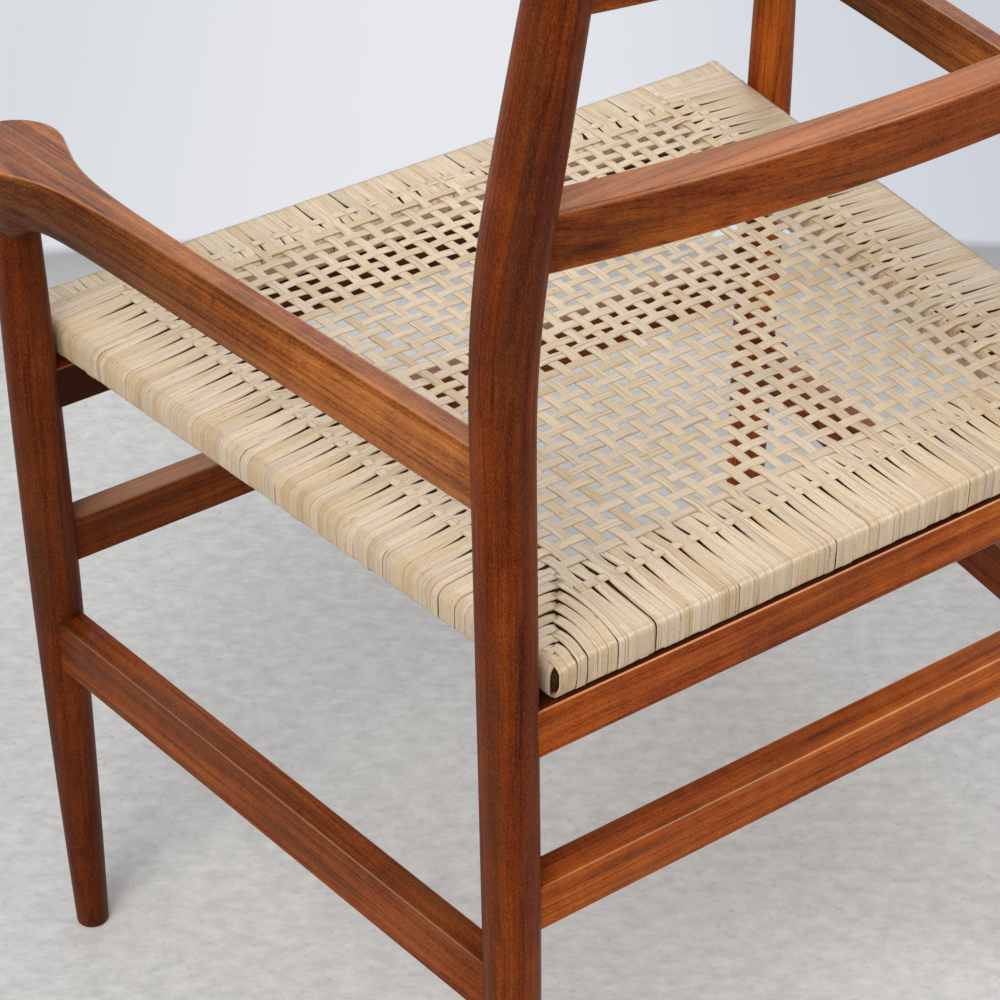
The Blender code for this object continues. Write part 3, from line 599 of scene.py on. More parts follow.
class Border:
    """One side of the seat panel: t runs along its outer edge and d inward from it."""

    def __init__(self, name, origin, along, inward, turn):
        self.name = name
        self.origin = np.array(origin, float)
        self.along, self.inward = unit(np.array(along, float)), unit(np.array(inward, float))
        self.turn = turn

    def plan(self, t, d):
        t, d = np.asarray(t, float)[..., None], np.asarray(d, float)[..., None]
        return self.origin + t * self.along + d * self.inward

    def local(self, point):
        offset = np.asarray(point, float) - self.origin
        return float(offset @ self.along), float(offset @ self.inward)

    def bead(self, t):
        """Distance from the edge to the bead row."""
        if self.name in ROWS:
            return ROWS[self.name][0]
        return SIDE_BEAD[0] + SIDE_BEAD[1] * float(self.plan(t, 0.0)[1])

    def cross(self, t):
        """Distance from the edge to the cross strand."""
        return ROWS[self.name][1] if self.name in ROWS else self.bead(t) + SIDE_CROSS_STEP

    def inner(self, t):
        """Distance from the edge to the windings' inner face."""
        return max(BOARD_WIDTH[self.name], self.cross(t) + INNER_PAST_CROSS)

    def solid(self, stations):
        """Points and normals of (t, d, z, normal inward, normal up) stations."""
        stations = np.asarray(stations, float)
        points = np.column_stack([self.plan(stations[:, 0], stations[:, 1]), stations[:, 2]])
        normals = np.column_stack([stations[:, 3:4] * self.inward, stations[:, 4]])
        return points, normals


def side_border(name, side):
    return Border(name, (side * half_width(0.0), 0.0), (-side * SIDE_SLOPE, 1.0), (-side, -SIDE_SLOPE), -1)


BORDERS = {
    "rear": Border("rear", (0.0, PANEL_REAR), (1, 0), (0, -1), 1),
    "front": Border("front", (0.0, PANEL_FRONT), (1, 0), (0, 1), 1),
    "left": side_border("left", 1),
    "right": side_border("right", -1),
}


def outer_turn(border, t_face, bulge=0.0, bottom_from=None, raised=0.0):
    """Stations from the bottom, round the outer face, to the start of the top."""
    r, r_low = EDGE_RADIUS[border.name] - BASE, LOWER_RADIUS[border.name] - BASE
    inner = border.inner(t_face) - BASE - r_low if bottom_from is None else bottom_from
    out = []
    for d in np.linspace(inner, BASE + r_low, 4)[:-1]:
        rest = 1 - smooth_step((d - BASE - r_low) / RAISE_FADE)
        out.append((t_face, d, LOW + raised * rest, 0.0, -1.0))
    for a in arc(5):
        z = LOW + raised + r_low - r_low * math.cos(a)
        out.append((t_face, BASE + r_low - r_low * math.sin(a), z, -math.sin(a), -math.cos(a)))
    out.append((t_face, BASE - bulge, (LOW + HIGH) / 2, -1.0, 0.0))
    for a in arc(6):
        out.append((t_face, BASE + r - r * math.cos(a) - bulge * math.cos(a),
                    HIGH - r + r * math.sin(a), -math.cos(a), math.sin(a)))
    return out


def top_stations(border, t_face, t_bead, end, t_end, slit_start):
    """Stations on the top from the outer bend to a distance, drawing in at the bead row."""
    bead = border.bead(t_bead)
    start = EDGE_RADIUS[border.name]
    stops = [start + (slit_start - start) * 0.5, slit_start]
    stops += [slit_start + (bead - slit_start) * share for share in (0.33, 0.66, 0.85, 1.0)]
    stops += [bead + (end - bead) * share for share in (0.25, 0.6, 1.0)]
    out = []
    for d in stops:
        if d <= bead:
            t = t_face + (t_bead - t_face) * smooth_step((d - start) / (bead - start))
        else:
            t = t_bead + (t_end - t_bead) * smooth_step((d - bead) / (end - bead))
        lift = BEAD_LIFT * math.exp(-((d - bead) / BEAD_LIFT_REACH) ** 2)
        tuck = CROSS_TUCK * smooth_step((d - border.cross(t_bead) + CROSS_TUCK_START) / CROSS_TUCK_RUN)
        out.append((t, d, HIGH + lift - tuck, 0.0, 1.0))
    return out


def inner_face(border, t_face):
    """Stations down the windings' inner face and round to the bottom."""
    r = LOWER_RADIUS[border.name] - BASE
    inner = border.inner(t_face) - BASE
    out = [(t_face, inner, HIGH - INNER_BEND, 1.0, 0.0), (t_face, inner, LOW + r, 1.0, 0.0)]
    for a in arc(4)[1:-1]:
        z = LOW + r - r * math.sin(a)
        out.append((t_face, inner - r + r * math.cos(a), z, math.cos(a), -math.sin(a)))
    return out


def inner_bend(border, t_face):
    """Stations round the windings' inner top edge."""
    r = INNER_BEND
    inner = border.inner(t_face) - BASE
    out = []
    for a in arc(5)[:-1]:
        z = HIGH - CROSS_TUCK - (r - CROSS_TUCK) * (1 - math.cos(a))
        out.append((t_face, inner - r + r * math.sin(a), z, math.sin(a), math.cos(a)))
    return out


class Pair:
    """A field strand and the fillers beside it, where they are wound round a border."""

    def __init__(self, border, t_strand, pitch):
        count = max(2, int(round(pitch / WINDING_PITCH)))
        order = border.turn * np.arange(count)
        self.bead_step, self.face_step = (pitch - SLIT[border.name]) / count, pitch / count
        self.at_bead = t_strand + order * self.bead_step
        self.slit = t_strand + border.turn * (self.bead_step * (count - 1) - pitch) / 2
        self.on_face = self.slit + border.turn * self.face_step * (np.arange(count) + 0.5)
        self.at_cross = t_strand + order * self.face_step
        self.far_edge = self.slit + border.turn * pitch


def border_pairs(border, places):
    jitter = PLACE_JITTER[border.name]
    places = places + rng.normal(0, jitter, len(places)).clip(-2 * jitter, 2 * jitter)
    gaps = np.diff(places)
    pitches = np.append(gaps, gaps[-1]) if border.turn > 0 else np.insert(gaps, 0, gaps[0])
    return [Pair(border, t, pitch) for t, pitch in zip(places, pitches)]


class Winding:
    """The unevenness of one winding, and its stations round a border's board."""

    def __init__(self, border, pair, index):
        self.border, self.pair = border, pair
        self.t_face = pair.on_face[index] + np.clip(rng.normal(0, FACE_JITTER), -FACE_LIMIT, FACE_LIMIT)
        self.t_bead = pair.at_bead[index]
        self.proud = rng.uniform(*PROUD)
        self.narrow = SPLIT_WIDTH if rng.random() < SPLIT_SHARE[border.name] else 0.0
        self.split_top = rng.uniform(PANEL_BOTTOM, PANEL_TOP + SPLIT_ABOVE)
        self.raised = rng.uniform(*BOTTOM_RAISE)
        self.slit_start = SLIT_START[border.name] + rng.normal(0, SLIT_SPREAD)

    def outer_and_top(self, end, t_end):
        stations = outer_turn(self.border, self.t_face, raised=self.raised)
        return stations + top_stations(self.border, self.t_face, self.t_bead, end, t_end, self.slit_start)

    def halves(self, stations):
        """Half widths: full on the faces, drawn in from the slit to the bead row, then wider again."""
        bead, cross = self.border.bead(self.t_bead), self.border.cross(self.t_bead)
        full = self.pair.face_step / 2 + OVERLAP
        drawn = self.pair.bead_step / 2 + OVERLAP
        lower = drawn + (SLIT[self.border.name] - LOWER_SLIT) / (2 * len(self.pair.on_face))
        places = (0.0, self.slit_start, bead, bead + LOWER_SLIT_END, cross - FULL_BEFORE_CROSS)
        values = (full, full, drawn, lower, full)
        return np.array([np.interp(d, places, values) if upward > 0.95
                         else full - (self.narrow if z < self.split_top else 0.0)
                         for t, d, z, inward, upward in stations])

    def solid(self, stations):
        points, normals = self.border.solid(stations)
        return points + normals * self.proud, normals


def tail(border, pair, t_cross, cross, half):
    """A field strand's winding: down the inner face, round the board and over the top to the cross strand."""
    winding = Winding(border, pair, 0)
    stations = inner_bend(border, winding.t_face)[1:] + inner_face(border, winding.t_face)
    stations += winding.outer_and_top(cross - TAIL_SHORT, t_cross)
    halves = winding.halves(stations)
    halves[-1] = half
    return *winding.solid(stations), halves


def wind_filler(strands, border, pair, index):
    """A closed winding beside a field strand's own."""
    winding = Winding(border, pair, index)
    t_cross = pair.at_cross[index]
    stations = winding.outer_and_top(border.inner(t_cross) - BASE - INNER_BEND, t_cross)[:-1]
    stations += inner_bend(border, t_cross) + inner_face(border, winding.t_face)
    strands.add(*winding.solid(stations), winding.halves(stations), closed=True)


def wind_corner(strands, border, t_face, end, half, top_half, loose, bulge=0.0, lean=0.0, under=None,
                dip=LAP_DIP):
    """A winding that ends on the top and the bottom at a corner's mitre or lap."""
    start = EDGE_RADIUS[border.name]
    end = max(end, start + SHORTEST_TOP)
    stations = outer_turn(border, t_face, loose, end if under is None else under, rng.uniform(*BOTTOM_RAISE))
    for share in np.linspace(0, 1, 11)[1:]:
        d = start + (end - start) * share
        t = t_face + bulge * (math.sin(math.pi * share * 0.9) - 0.1 * share) + lean * (d - start)
        drop = dip * smooth_step(1 - (1 - share) * (end - start) / TIP_RUN)
        stations.append((t, d, HIGH + CORNER_LIFT - drop, 0.0, 1.0))
    halves = np.full(len(stations), half)
    halves[-10:] = np.linspace(half, top_half, 4).tolist() + [top_half] * 6
    halves[-1] *= TIP_NARROWING
    points, normals = border.solid(stations)
    strands.add(points + normals * rng.uniform(*CORNER_PROUD), normals, halves)


def close_corner(strands, border, t_face, away):
    """A short winding on the front face beside a corner, drawn in below the bend of the side's windings."""
    under = LOWER_RADIUS[border.name] + UNDER_REACH
    stations = np.array(outer_turn(border, t_face, 0.0, under, BOTTOM_RAISE[0]))[:-2]
    drawn = np.zeros(len(stations))
    drawn[-4:] = CORNER_DRAW
    stations[:, 0] += away * drawn
    strands.add(*border.solid(stations), FRONT_CLEAR / 2 - drawn)


def wind_corners(strands, border, edges, corners):
    """The windings between the outermost pairs and the corners: mitred at the rear, lapped at the front."""
    for edge, (corner, inner_corner) in zip(edges, corners):
        t_corner = border.local(corner)[0]
        t_inner, d_inner = border.local(inner_corner)
        clear = FRONT_CLEAR if border.name == "front" else CORNER_CLEAR
        stop = t_corner - math.copysign(clear, t_corner - edge)
        count = max(int(round(abs(stop - edge) / CORNER_PITCH)), 2)
        step = (stop - edge) / count
        places = edge + step * (np.arange(count) + 0.5) + rng.normal(0, CORNER_JITTER, count)
        opened = border.name == "rear" and corner[0] > 0
        if opened:
            places[-3:] += np.sign(step) * np.array(OPENED_SHIFTS)
        away = math.copysign(1.0, t_inner - t_corner)
        for left, t in zip(range(count - 1, -1, -1), places):
            loose = OPENED_LOOSE[left] if opened and left < 3 else rng.uniform(0, CORNER_LOOSE)
            half = abs(step) / 2 + (-OPENED_GAP if opened else OVERLAP)
            if corner[1] > 0:
                mitre = d_inner * (t_corner - t) / (t_corner - t_inner)
                over, dip = MITRE_ENDS[border.name]
                bulge = away * MITRE_BULGE * min(1.0, mitre / MITRE_BULGE_RUN)
                top_half = abs(step) / 2 + MITRE_OVERLAP
                wind_corner(strands, border, t, mitre + over, half, top_half, loose, bulge, dip=dip)
            elif border.name == "front":
                lean = away * SIDE_SLOPE * (t - edge) / (t_corner - edge)
                top_half = half - (FRONT_THIN if rng.random() < FRONT_THIN_SHARE else 0.0)
                wind_corner(strands, border, t, FRONT_LAP + FRONT_PAST_LAP, half, top_half, loose, lean=lean)
            else:
                tucked = abs(t_corner - t) < FRONT_LAP
                end = TUCK_END if tucked else d_inner - SIDE_SHORT
                under = LOWER_RADIUS[border.name] + UNDER_REACH if tucked else end
                wind_corner(strands, border, t, end, half, half, loose, under=under)
        if border.name == "front":
            close_corner(strands, border, t_corner + away * CLOSING_PLACE * FRONT_CLEAR, away)


def lay_beads(strands, border, pairs):
    """The strand of the bead row: up over each slit, down under each pair."""
    slits = sorted([pair.slit for pair in pairs] + [pairs[-1 if border.turn > 0 else 0].far_edge])
    line = []
    for first, second in zip(slits, slits[1:]):
        for share in np.linspace(0, 1, 16, endpoint=False):
            away = min(share, 1 - share) * (second - first)
            up = 1 - smooth_step((away - BEAD_REACH[border.name]) / BEAD_FALL)
            t = first + (second - first) * share
            z = HIGH + BEAD_LIFT - BEAD_DROP + (BEAD_RISE + BEAD_DROP) * up
            line.append((*border.plan(t, border.bead(t)), z))
    strands.add(line, UP, BEAD_HALF, tone=0.5)


def field_height(x, y):
    """Height of the weave's middle: the field sags a little."""
    middle, reach = (PANEL_REAR + PANEL_FRONT) / 2, (PANEL_REAR - PANEL_FRONT) / 2
    across = np.clip(1 - (x / half_width(y)) ** 2, 0, 1)
    along = np.clip(1 - ((y - middle) / reach) ** 2, 0, 1)
    return PANEL_TOP - FIELD_DROP - FIELD_SAG * across * along


def weave_line(crossings, levels, per_gap=4):
    """Points through crossings, rising and falling between their levels."""
    points = []
    for i in range(len(crossings) - 1):
        for share in np.linspace(0, 1, per_gap, endpoint=False):
            blend = (1 - math.cos(math.pi * share)) / 2
            x, y = crossings[i] + (crossings[i + 1] - crossings[i]) * share
            points.append((x, y, levels[i] + (levels[i + 1] - levels[i]) * blend))
    points.append((*crossings[-1], levels[-1]))
    return np.array(points)


def crossing_level(x, y, over, at_border):
    """Height of a strand's underside where it crosses another one."""
    if at_border:
        return PANEL_TOP + CROSS_LEVEL + (CANE if over else -CANE - CROSS_CLEAR)
    return field_height(x, y) - (0.0 if over else CANE)


def add_field_strand(strands, crossings, levels, half, ends):
    """One strand from a winding at one border, through the field, to a winding at the other."""
    (low, low_normals, low_halves), (high, high_normals, high_halves) = [
        tail(border, pair, *border.local(spot), half)
        for (border, pair), spot in zip(ends, (crossings[0], crossings[-1]))]
    middle = weave_line(crossings, levels)
    line = np.concatenate([low, middle, high[::-1]])
    normals = np.concatenate([low_normals, np.tile(UP, (len(middle), 1)), high_normals[::-1]])
    strands.add(line, normals, np.concatenate([low_halves, np.full(len(middle), half), high_halves[::-1]]))


def field_lines():
    """Lines of the weave by place and slope: columns from front to rear, and rows from side to side."""
    fan_a, fan_b, pitch_a, pitch_b = FAN
    columns = [(fan_a + k * pitch_a, fan_b + k * pitch_b) for k in range(FAN_FIRST, FAN_LAST + 1)]
    at_rear, at_front = [half_width(y) - SIDE_BEAD[0] - SIDE_BEAD[1] * y - SIDE_CROSS_STEP
                         for y in (SIDE_COLUMN_REAR, SIDE_COLUMN_FRONT)]
    slope = (at_rear - at_front) / (SIDE_COLUMN_REAR - SIDE_COLUMN_FRONT)
    outer = at_rear - slope * SIDE_COLUMN_REAR
    columns = [(-outer, -slope), *columns, (outer, slope)]
    rear_row, front_row = PANEL_REAR - ROWS["rear"][1], PANEL_FRONT + ROWS["front"][1]
    near = rear_row - np.cumsum(REAR_ROW_GAPS)[::-1]
    even = np.linspace(front_row, near[0], ROW_COUNT + 2 - len(near))
    places = np.concatenate([even, near[1:], [rear_row]])
    return columns, [(y, ROW_TILT * min(i, ROW_COUNT + 1 - i, 4) / 4) for i, y in enumerate(places)]


def corner_pair(name, columns, rows):
    """Outer and inner corners at the low and high ends of a border's own direction."""
    def corner(side, end):
        a, b = columns[-1 if side > 0 else 0]
        half, edge, y = (REAR_HALF, PANEL_REAR, rows[-1][0]) if end == "rear" else (
            FRONT_HALF, PANEL_FRONT, rows[0][0])
        return (side * half, edge), (a + b * y, y)

    if name in ROWS:
        return corner(-1, name), corner(1, name)
    side = dict(SIDES)[name]
    return corner(side, "front"), corner(side, "rear")


def weave(cane):
    """All cane of the seat: the open field, the windings, the cross strands and the bead rows."""
    columns, rows = field_lines()
    wander = rng.normal(0, ROW_WANDER, len(rows))
    wander[[0, -1]] = 0.0
    shift = rng.normal(0, COLUMN_WANDER, len(columns))

    def meet(i, j):
        (a, b), (c, d) = columns[i], rows[j]
        y = (c + wander[j] + d * a) / (1 - d * b)
        return np.array((a + shift[i] + b * y, y))

    pairs = {}
    for name in ("front", "rear"):
        border = BORDERS[name]
        y = border.plan(0.0, border.bead(0.0))[1]
        pairs[name] = border_pairs(border, [a + b * y for a, b in columns])
    for name, side in SIDES:
        places = []
        for c, d in rows:
            x = side * (half_width(c) - SIDE_PAIR_INSET)
            places.append(BORDERS[name].local((x, c + d * x + SIDE_PAIR_SHIFT))[0])
        pairs[name] = border_pairs(BORDERS[name], places)

    for crosswise, strands, mean_half, ends in (
            (False, Strands("cane_lengthwise"), LENGTHWISE_HALF, ("front", "rear")),
            (True, Strands("cane_crosswise"), CROSSWISE_HALF, ("right", "left"))):
        own, other = (len(rows), len(columns)) if crosswise else (len(columns), len(rows))
        for i in range(own):
            crossings = [meet(j, i) if crosswise else meet(i, j) for j in range(other)]
            over = [(i + j) % 2 == crosswise for j in range(other)]
            at_edge = i in (0, own - 1)
            if at_edge and crosswise:
                levels = [PANEL_TOP + CROSS_LEVEL + (CROSS_STEP if up else -CROSS_STEP) for up in over]
            else:
                levels = [crossing_level(*crossings[j], over[j], j in (0, other - 1)) for j in range(other)]
            half = CROSS_HALF if at_edge else mean_half * rng.normal(1, WIDTH_SPREAD)
            wound = [(BORDERS[name], pairs[name][i]) for name in ends]
            add_field_strand(strands, crossings, levels, half, wound)
        strands.build(cane, "cane_field")

    for name, border in BORDERS.items():
        windings, beads = Strands("cane_windings_" + name), Strands("cane_beads_" + name)
        for pair in pairs[name]:
            for index in range(1, len(pair.on_face)):
                wind_filler(windings, border, pair, index)
        edges = sorted(edge for pair in pairs[name] for edge in (pair.slit, pair.far_edge))
        wind_corners(windings, border, (edges[0], edges[-1]), corner_pair(name, columns, rows))
        lay_beads(beads, border, pairs[name])
        windings.build(cane, "cane_wrap_" + name)
        beads.build(cane, "cane_wrap_" + name)


# Materials
class Shader:
    """A small wrapper to write the node tree of a material or a world in few lines."""

    def __init__(self, owner):
        owner.use_nodes = True
        self.tree = owner.node_tree
        self.tree.nodes.clear()

    def add(self, kind, settings=None, **inputs):
        """A node with its settings, and its inputs by name or, as i0, i1 and so on, by place."""
        node = self.tree.nodes.new("ShaderNode" + kind)
        for key, value in (settings or {}).items():
            setattr(node, key, value)
        for key, value in inputs.items():
            socket = node.inputs[int(key[1:]) if key[1:].isdigit() else key]
            if isinstance(value, bpy.types.NodeSocket):
                self.tree.links.new(value, socket)
            else:
                socket.default_value = (*value, 1.0) if socket.type == "RGBA" else value
        return node

    def math(self, operation, first, second=0.0, clamp=False):
        return self.add("Math", {"operation": operation, "use_clamp": clamp}, i0=first, i1=second).outputs[0]

    def stretch(self, vector, scale, shift=(0, 0, 0), turn=(0, 0, 0)):
        return self.add("Mapping", Vector=vector, Scale=scale, Location=shift, Rotation=turn).outputs[0]

    def noise(self, vector, scale, detail=2.0, roughness=0.5, shift=(0, 0, 0), turn=(0, 0, 0)):
        vector = self.stretch(vector, scale, shift, turn)
        node = self.add("TexNoise", Vector=vector, Scale=1.0, Detail=detail, Roughness=roughness)
        return node.outputs["Fac"]

    def rings(self, vector, scale, bend, detail):
        node = self.add("TexWave", {"wave_type": "RINGS"}, Vector=vector, Scale=scale, Distortion=bend,
                        Detail=detail)
        return node.outputs["Fac"]

    def ramp(self, factor, stops):
        node = self.add("ValToRGB", Fac=factor)
        elements = node.color_ramp.elements
        while len(elements) < len(stops):
            elements.new(0.5)
        for element, (position, colour) in zip(elements, stops):
            element.position = position
            element.color = (*colour, 1.0)
        return node.outputs["Color"]

    def span(self, value, low, high, to_low, to_high):
        return self.add("MapRange", i0=value, i1=low, i2=high, i3=to_low, i4=to_high).outputs[0]

    def mix(self, factor, first, second):
        return self.add("Mix", {"data_type": "RGBA"}, i0=factor, i6=first, i7=second).outputs[2]

    def attribute(self, name, output):
        return self.add("Attribute", {"attribute_name": name}).outputs[output]

    def seen(self):
        """1 for rays from the camera, a mirror or glass, and 0 for the rays that light the chair."""
        path = self.add("LightPath").outputs
        glimpsed = self.math("ADD", path["Is Glossy Ray"], path["Is Transmission Ray"])
        return self.math("ADD", path["Is Camera Ray"], glimpsed, True)

    def surface(self, colour, rough, height, strength, distance, sheen):
        """A bumped surface with a soft sheen, as the material's output."""
        bump = self.add("Bump", Strength=strength, Distance=distance, Height=height).outputs[0]
        shader = self.add("BsdfPrincipled", **{"Base Color": colour, "Roughness": rough, "Normal": bump,
                                               "IOR": 1.5, "Specular IOR Level": sheen})
        self.add("OutputMaterial", Surface=shader.outputs[0])


# Colour stops of each wood, from its dark lines to its light bands
POST_WOOD = [(0.0, (0.045, 0.0056, 0.0004)), (0.32, (0.100, 0.0142, 0.0008)),
             (0.62, (0.172, 0.0280, 0.0018)), (1.0, (0.285, 0.0590, 0.0043))]
BAR_WOOD = [(0.0, (0.080, 0.0117, 0.0010)), (0.32, (0.210, 0.0350, 0.0028)),
            (0.62, (0.380, 0.0768, 0.0075)), (1.0, (0.560, 0.1520, 0.0185))]
ARM_WOOD = [(0.0, (0.060, 0.0108, 0.0014)), (0.32, (0.200, 0.0452, 0.0074)),
            (0.62, (0.390, 0.1130, 0.0225)), (1.0, (0.600, 0.2200, 0.0540))]
# The seat frame's boards under the cane, coloured near black as painted shade in the slits between the
# windings
SLIT_SHADE_WOOD = [(0.0, (0.012, 0.0045, 0.0018)), (0.5, (0.040, 0.0150, 0.0065)), (1.0, (0.080, 0.0330, 0.0150))]
# How deep or pale each wood is toned: the near left leg and the front bars are toned darker as painted shade,
# and the far right leg paler as painted light
WOODS = {"left_leg": (POST_WOOD, 0.72), "right_leg": (BAR_WOOD, 0.95), "posts": (POST_WOOD, 0.97),
         "rear_bars": (BAR_WOOD, 1.14), "side_bars": (BAR_WOOD, 0.69), "front_bars": (BAR_WOOD, 0.50),
         "back_rails": (BAR_WOOD, 0.88), "arms": (ARM_WOOD, 1.0)}
# Colour of painted highlights on eased edges and painted sheen on tops
HIGHLIGHT_WOOD = (0.76, 0.41, 0.215)
# Pale flecks in the grain, painted as fine glints
PALE_FLECK = (0.75, 0.30, 0.13)
UMBER = (0.075, 0.026, 0.0085)
# Colour of painted shade, and of the back rail's dark streak
DARK_WOOD = (0.016, 0.0042, 0.0013)

# Colour stops of the cane strands, by tone, and its darker marks
CANE_TONES = [(0.0, (0.620, 0.440, 0.258)), (0.20, (0.705, 0.533, 0.335)), (0.45, (0.770, 0.602, 0.410)),
              (0.65, (0.770, 0.608, 0.440)), (0.85, (0.705, 0.558, 0.402)), (1.0, (0.625, 0.500, 0.365))]
CANE_DRIFT = (0.47, 0.335, 0.195)
CANE_FIBRE = (0.40, 0.285, 0.170)
CANE_SPLIT = (0.30, 0.185, 0.095)
CANE_FLECK = (0.20, 0.115, 0.055)
CANE_GRIT = (0.36, 0.245, 0.145)


def wood_material(name, stops, share=1.0, on_cad=False):
    """Oiled reddish-brown wood: thin ring lines, soft streaks, fine pores and slow colour drift, with painted
    highlights, painted sheen and painted shade from each piece's painted light.
    """
    material = bpy.data.materials.new(name)
    s = Shader(material)
    grain = s.add("TexCoord").outputs["Object"] if on_cad else s.attribute("grain", "Vector")
    ring_place = s.stretch(grain, (0.07, 1, 1), (0, 0.035, 0.050), (0, 0.025, 0.03))
    rings, fine_rings = s.rings(ring_place, 36.0, 5.5, 2.5), s.rings(ring_place, 82.0, 8.0, 2.0)
    streaks = s.noise(grain, (6, 620, 620), 3.0, 0.6)
    fibres = s.noise(grain, (20, 1500, 1500), 1.0)
    dashes = s.noise(grain, (190, 2400, 2400), 1.0, shift=(3, 0, 0))
    drift = s.noise(grain, (5, 28, 28))
    flame = s.noise(grain, (15, 110, 110), 2.5, 0.55, turn=(0, 0.04, 0.05))
    curl = s.noise(grain, (110, 16, 16), 1.0)
    speckle = s.noise(grain, (600, 1500, 1500), 1.0, shift=(0, 5, 0))
    umber = s.noise(grain, (7, 75, 75), 2.5, 0.55, shift=(0, 0, 7))
    broken = s.noise(grain, (4, 360, 360))
    line = s.math("MULTIPLY", s.span(fine_rings, 0.86, 1.0, 0.0, 1.0), s.span(broken, 0.36, 0.58, 0.15, 1.0))
    pores = s.span(dashes, 0.56, 0.68, 0.0, 1.0)
    tone = s.span(drift, 0.30, 0.70, 0.40, 0.76)
    for layer, *span in ((streaks, 0.32, 0.70, 0.12, -0.14), (rings, 0.0, 1.0, 0.07, -0.08),
                         (fibres, 0.30, 0.70, 0.075, -0.075), (flame, 0.32, 0.68, 0.11, -0.12),
                         (curl, 0.32, 0.68, 0.045, -0.045), (speckle, 0.30, 0.50, -0.17, 0.03)):
        tone = s.math("ADD", tone, s.span(layer, *span))
    tone = s.math("SUBTRACT", tone, s.math("MULTIPLY", line, 0.28))
    tone = s.math("SUBTRACT", tone, s.math("MULTIPLY", pores, 0.22), True)
    painted_light_and_streak = s.attribute("painted_light_and_streak", "Fac")
    # Painted highlights on edges, painted sheen on tops and painted light on the arms' rear ends, broken up
    # by the grain
    painted_highlight = s.math("MULTIPLY", s.math("MAXIMUM", painted_light_and_streak, 0.0), s.span(broken, 0.30, 0.60, 0.95, 0.55))
    toned = [(position, tuple(share * channel for channel in colour)) for position, colour in stops]
    colour = s.mix(s.span(umber, 0.50, 0.68, 0.0, 0.50), s.ramp(tone, toned), UMBER)
    # Pale flecks painted as fine glints
    colour = s.mix(s.span(speckle, 0.54, 0.70, 0.0, 0.07), colour, PALE_FLECK)
    colour = s.mix(painted_highlight, colour, HIGHLIGHT_WOOD)
    # Painted shade, and the back rail's dark streak
    colour = s.mix(s.span(painted_light_and_streak, -1.0, 0.0, 1.0, 0.0), colour, DARK_WOOD)
    height = s.math("SUBTRACT", s.math("MULTIPLY", streaks, 0.3), pores)
    s.surface(colour, s.span(streaks, 0.3, 0.7, 0.36, 0.48), height, 0.18, 0.0003, 0.07)
    return material


def cane_material():
    """Split cane: pale straw with lengthwise fibres, a soft sheen, and strands of several tones."""
    material = bpy.data.materials.new("cane_strands")
    s = Shader(material)
    strand = s.attribute("strand", "Vector")
    fibres = s.noise(strand, (16, 2000, 37), 3.0, 0.65)
    splits = s.noise(strand, (11, 900, 91))
    drift = s.noise(strand, (16, 130, 53), 2.0, 0.55)
    flecks = s.noise(strand, (110, 620, 71), 2.0, 0.6)
    grit = s.noise(strand, (420, 1700, 23), 1.0)
    colour = s.ramp(s.add("SeparateXYZ", Vector=strand).outputs[2], CANE_TONES)
    marks = ((drift, 0.54, 0.74, 0.35, CANE_DRIFT), (fibres, 0.46, 0.70, 0.55, CANE_FIBRE),
             (splits, 0.60, 0.66, 0.55, CANE_SPLIT), (flecks, 0.67, 0.74, 0.65, CANE_FLECK),
             (grit, 0.60, 0.74, 0.5, CANE_GRIT))
    for layer, low, high, share, mark in marks:
        colour = s.mix(s.span(layer, low, high, 0.0, share), colour, mark)
    height = s.math("ADD", s.math("MULTIPLY", fibres, -0.7), s.math("MULTIPLY", drift, 0.4))
    s.surface(colour, s.span(fibres, 0.3, 0.7, 0.30, 0.46), height, 0.35, 0.0004, 0.13)
    return material


# Stage
FLOOR_SIZE = 14.0
FLOOR_REACH = 0.885
FLOOR_SQUARENESS = 4.0
FLOOR_COLOUR = (0.830, 0.823, 0.815)
FLOOR_MOTTLE = (0.645, 0.638, 0.628)
FLOOR_SPECK = (0.46, 0.45, 0.44)
# Colour of the painted shade on the floor toward the foot of the wall
FLOOR_WALL_SHADE = (0.440, 0.440, 0.462)
WALL_COLOUR = (0.700, 0.728, 0.775)
# Bands of painted light on the glowing surround that stands for the wall
WALL_BANDS = [(0.0, (0.690, 0.715, 0.755)), (0.28, (0.785, 0.795, 0.825)), (0.45, (0.800, 0.812, 0.842)),
              (0.68, (0.700, 0.725, 0.770)), (0.90, (0.610, 0.635, 0.695))]
WALL_SPAN = (-0.55, 0.48)
SKY_COLOUR = (0.95, 0.98, 1.0)
SKY_LEVELS = (0.33, 0.52)
LAMP_COLOUR = (1.0, 0.985, 0.965)
LAMP_AIM = (0, 0, 0.4)

# Lamps: name, place, size, power, and whether it lights only the sheen
LAMPS = (("key", (2.60, 1.47, 2.90), 2.4, 86.0, False), ("overhead", (-0.50, 1.60, 2.70), 1.8, 18.0, False),
         ("bright_wall", (-1.20, -1.65, 2.30), 2.5, 88.0, True),
         ("window", (-1.30, 1.80, 2.20), 0.5, 140.0, True))


def build_camera():
    flat = math.cos(CAMERA_DIP)
    look = Vector((-math.cos(CAMERA_HEADING) * flat, -math.sin(CAMERA_HEADING) * flat, -math.sin(CAMERA_DIP)))
    level = look.cross(Vector(UP)).normalized()
    right = math.cos(CAMERA_ROLL) * level + math.sin(CAMERA_ROLL) * level.cross(look)
    data = bpy.data.cameras.new("camera")
    data.lens = CAMERA_LENS
    data.sensor_width = CAMERA_SENSOR
    data.clip_start, data.clip_end = 0.05, 60.0
    camera = add_object("camera", data)
    axes = Matrix((right, right.cross(look), -look)).transposed().to_4x4()
    camera.matrix_world = Matrix.Translation(CAMERA_PLACE) @ axes
    bpy.context.scene.camera = camera


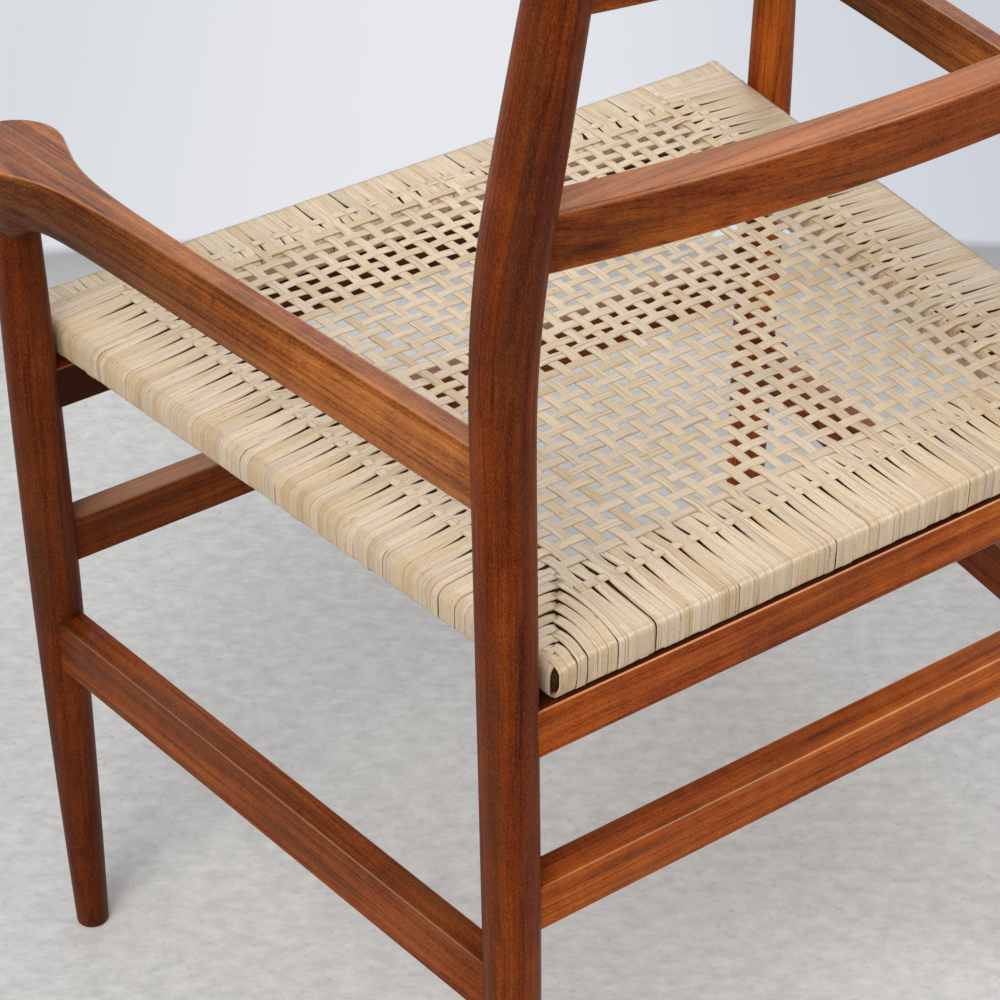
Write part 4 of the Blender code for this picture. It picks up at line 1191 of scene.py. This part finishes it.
def floor_material():
    """A pale grey floor, darkened by painted shade toward the foot of the wall, that gives way to a paler
    glowing surround with painted bands of light, as at the foot of a studio wall.
    """
    material = bpy.data.materials.new("studio_floor")
    s = Shader(material)
    place_on_floor = s.add("TexCoord").outputs["Object"]
    turned = s.stretch(place_on_floor, (1, 1, 1), turn=(0, 0, -CAMERA_HEADING))
    parts = s.add("SeparateXYZ", Vector=turned).outputs
    shares = [s.math("ABSOLUTE", s.math("DIVIDE", parts[axis], FLOOR_REACH)) for axis in (0, 1)]
    edge = s.math("ADD", *[s.math("POWER", share, FLOOR_SQUARENESS) for share in shares])
    mottle = s.noise(turned, (100, 55, 60), 5.0, 0.70)
    speck = s.noise(place_on_floor, (150, 150, 150), 3.0, 0.6)
    colour = s.mix(s.span(mottle, 0.36, 0.66, 0.0, 0.9), FLOOR_COLOUR, FLOOR_MOTTLE)
    colour = s.mix(s.span(speck, 0.59, 0.75, 0.0, 0.5), colour, FLOOR_SPECK)
    # Painted shade toward the foot of the wall
    colour = s.mix(s.span(edge, 0.35, 0.95, 0.0, 0.9), colour, FLOOR_WALL_SHADE)
    ground = s.add("BsdfPrincipled", **{"Base Color": colour, "Roughness": 0.75, "Specular IOR Level": 0.2})
    # The surround glows with bands of painted light, seen by camera, glossy and transmission rays
    glow = s.add("Emission", Color=s.ramp(s.span(parts[1], *WALL_SPAN, 0.0, 1.0), WALL_BANDS), Strength=1.0)
    beyond = s.math("MULTIPLY", s.span(edge, 0.96, 1.04, 0.0, 1.0), s.seen())
    mix = s.add("MixShader", i0=beyond, i1=ground.outputs[0], i2=glow.outputs[0])
    s.add("OutputMaterial", Surface=mix.outputs[0])
    return material


def build_stage():
    corners = np.array([(x, y, 0.0) for x in (-FLOOR_SIZE, FLOOR_SIZE) for y in (-FLOOR_SIZE, FLOOR_SIZE)])
    floor = make_object("studio_floor", corners, [(0, 2, 3, 1)], {})
    floor.data.materials.append(floor_material())

    world = bpy.context.scene.world = bpy.data.worlds.new("studio")
    s = Shader(world)
    height = s.add("SeparateXYZ", Vector=s.add("TexCoord").outputs["Generated"]).outputs["Z"]
    light = s.add("Background", Color=SKY_COLOUR, Strength=s.span(height, 0.0, 1.0, *SKY_LEVELS))
    shown = s.add("Background", Color=WALL_COLOUR)
    mix = s.add("MixShader", i0=s.seen(), i1=light.outputs[0], i2=shown.outputs[0])
    s.add("OutputWorld", Surface=mix.outputs[0])

    for name, spot, size, power, sheen_only in LAMPS:
        lamp = bpy.data.lights.new(name, "AREA")
        lamp.shape = "DISK"
        lamp.size = size
        lamp.energy = power
        lamp.color = LAMP_COLOUR
        item = add_object(name, lamp)
        item.location = spot
        item.visible_diffuse = not sheen_only
        item.rotation_euler = (Vector(LAMP_AIM) - Vector(spot)).to_track_quat("-Z", "Y").to_euler()


def main():
    bpy.context.scene.view_settings.view_transform = "Standard"
    woods = {name: wood_material("oiled_wood_" + name, *wood) for name, wood in WOODS.items()}
    slit_shade_wood = wood_material("frame_wood", SLIT_SHADE_WOOD, on_cad=True)
    build_front_legs((woods["left_leg"], woods["right_leg"]))
    build_posts(woods["posts"])
    build_bars(woods)
    for label in BACK_RAILS:
        build_back_rail(label, woods["back_rails"])
    for label, side in SIDES:
        build_arm(label, side, woods["arms"])
    for name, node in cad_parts.items():
        if name.startswith("seat_frame"):
            node.material_slots[0].material = slit_shade_wood
    weave(cane_material())
    build_stage()
    build_camera()


main()
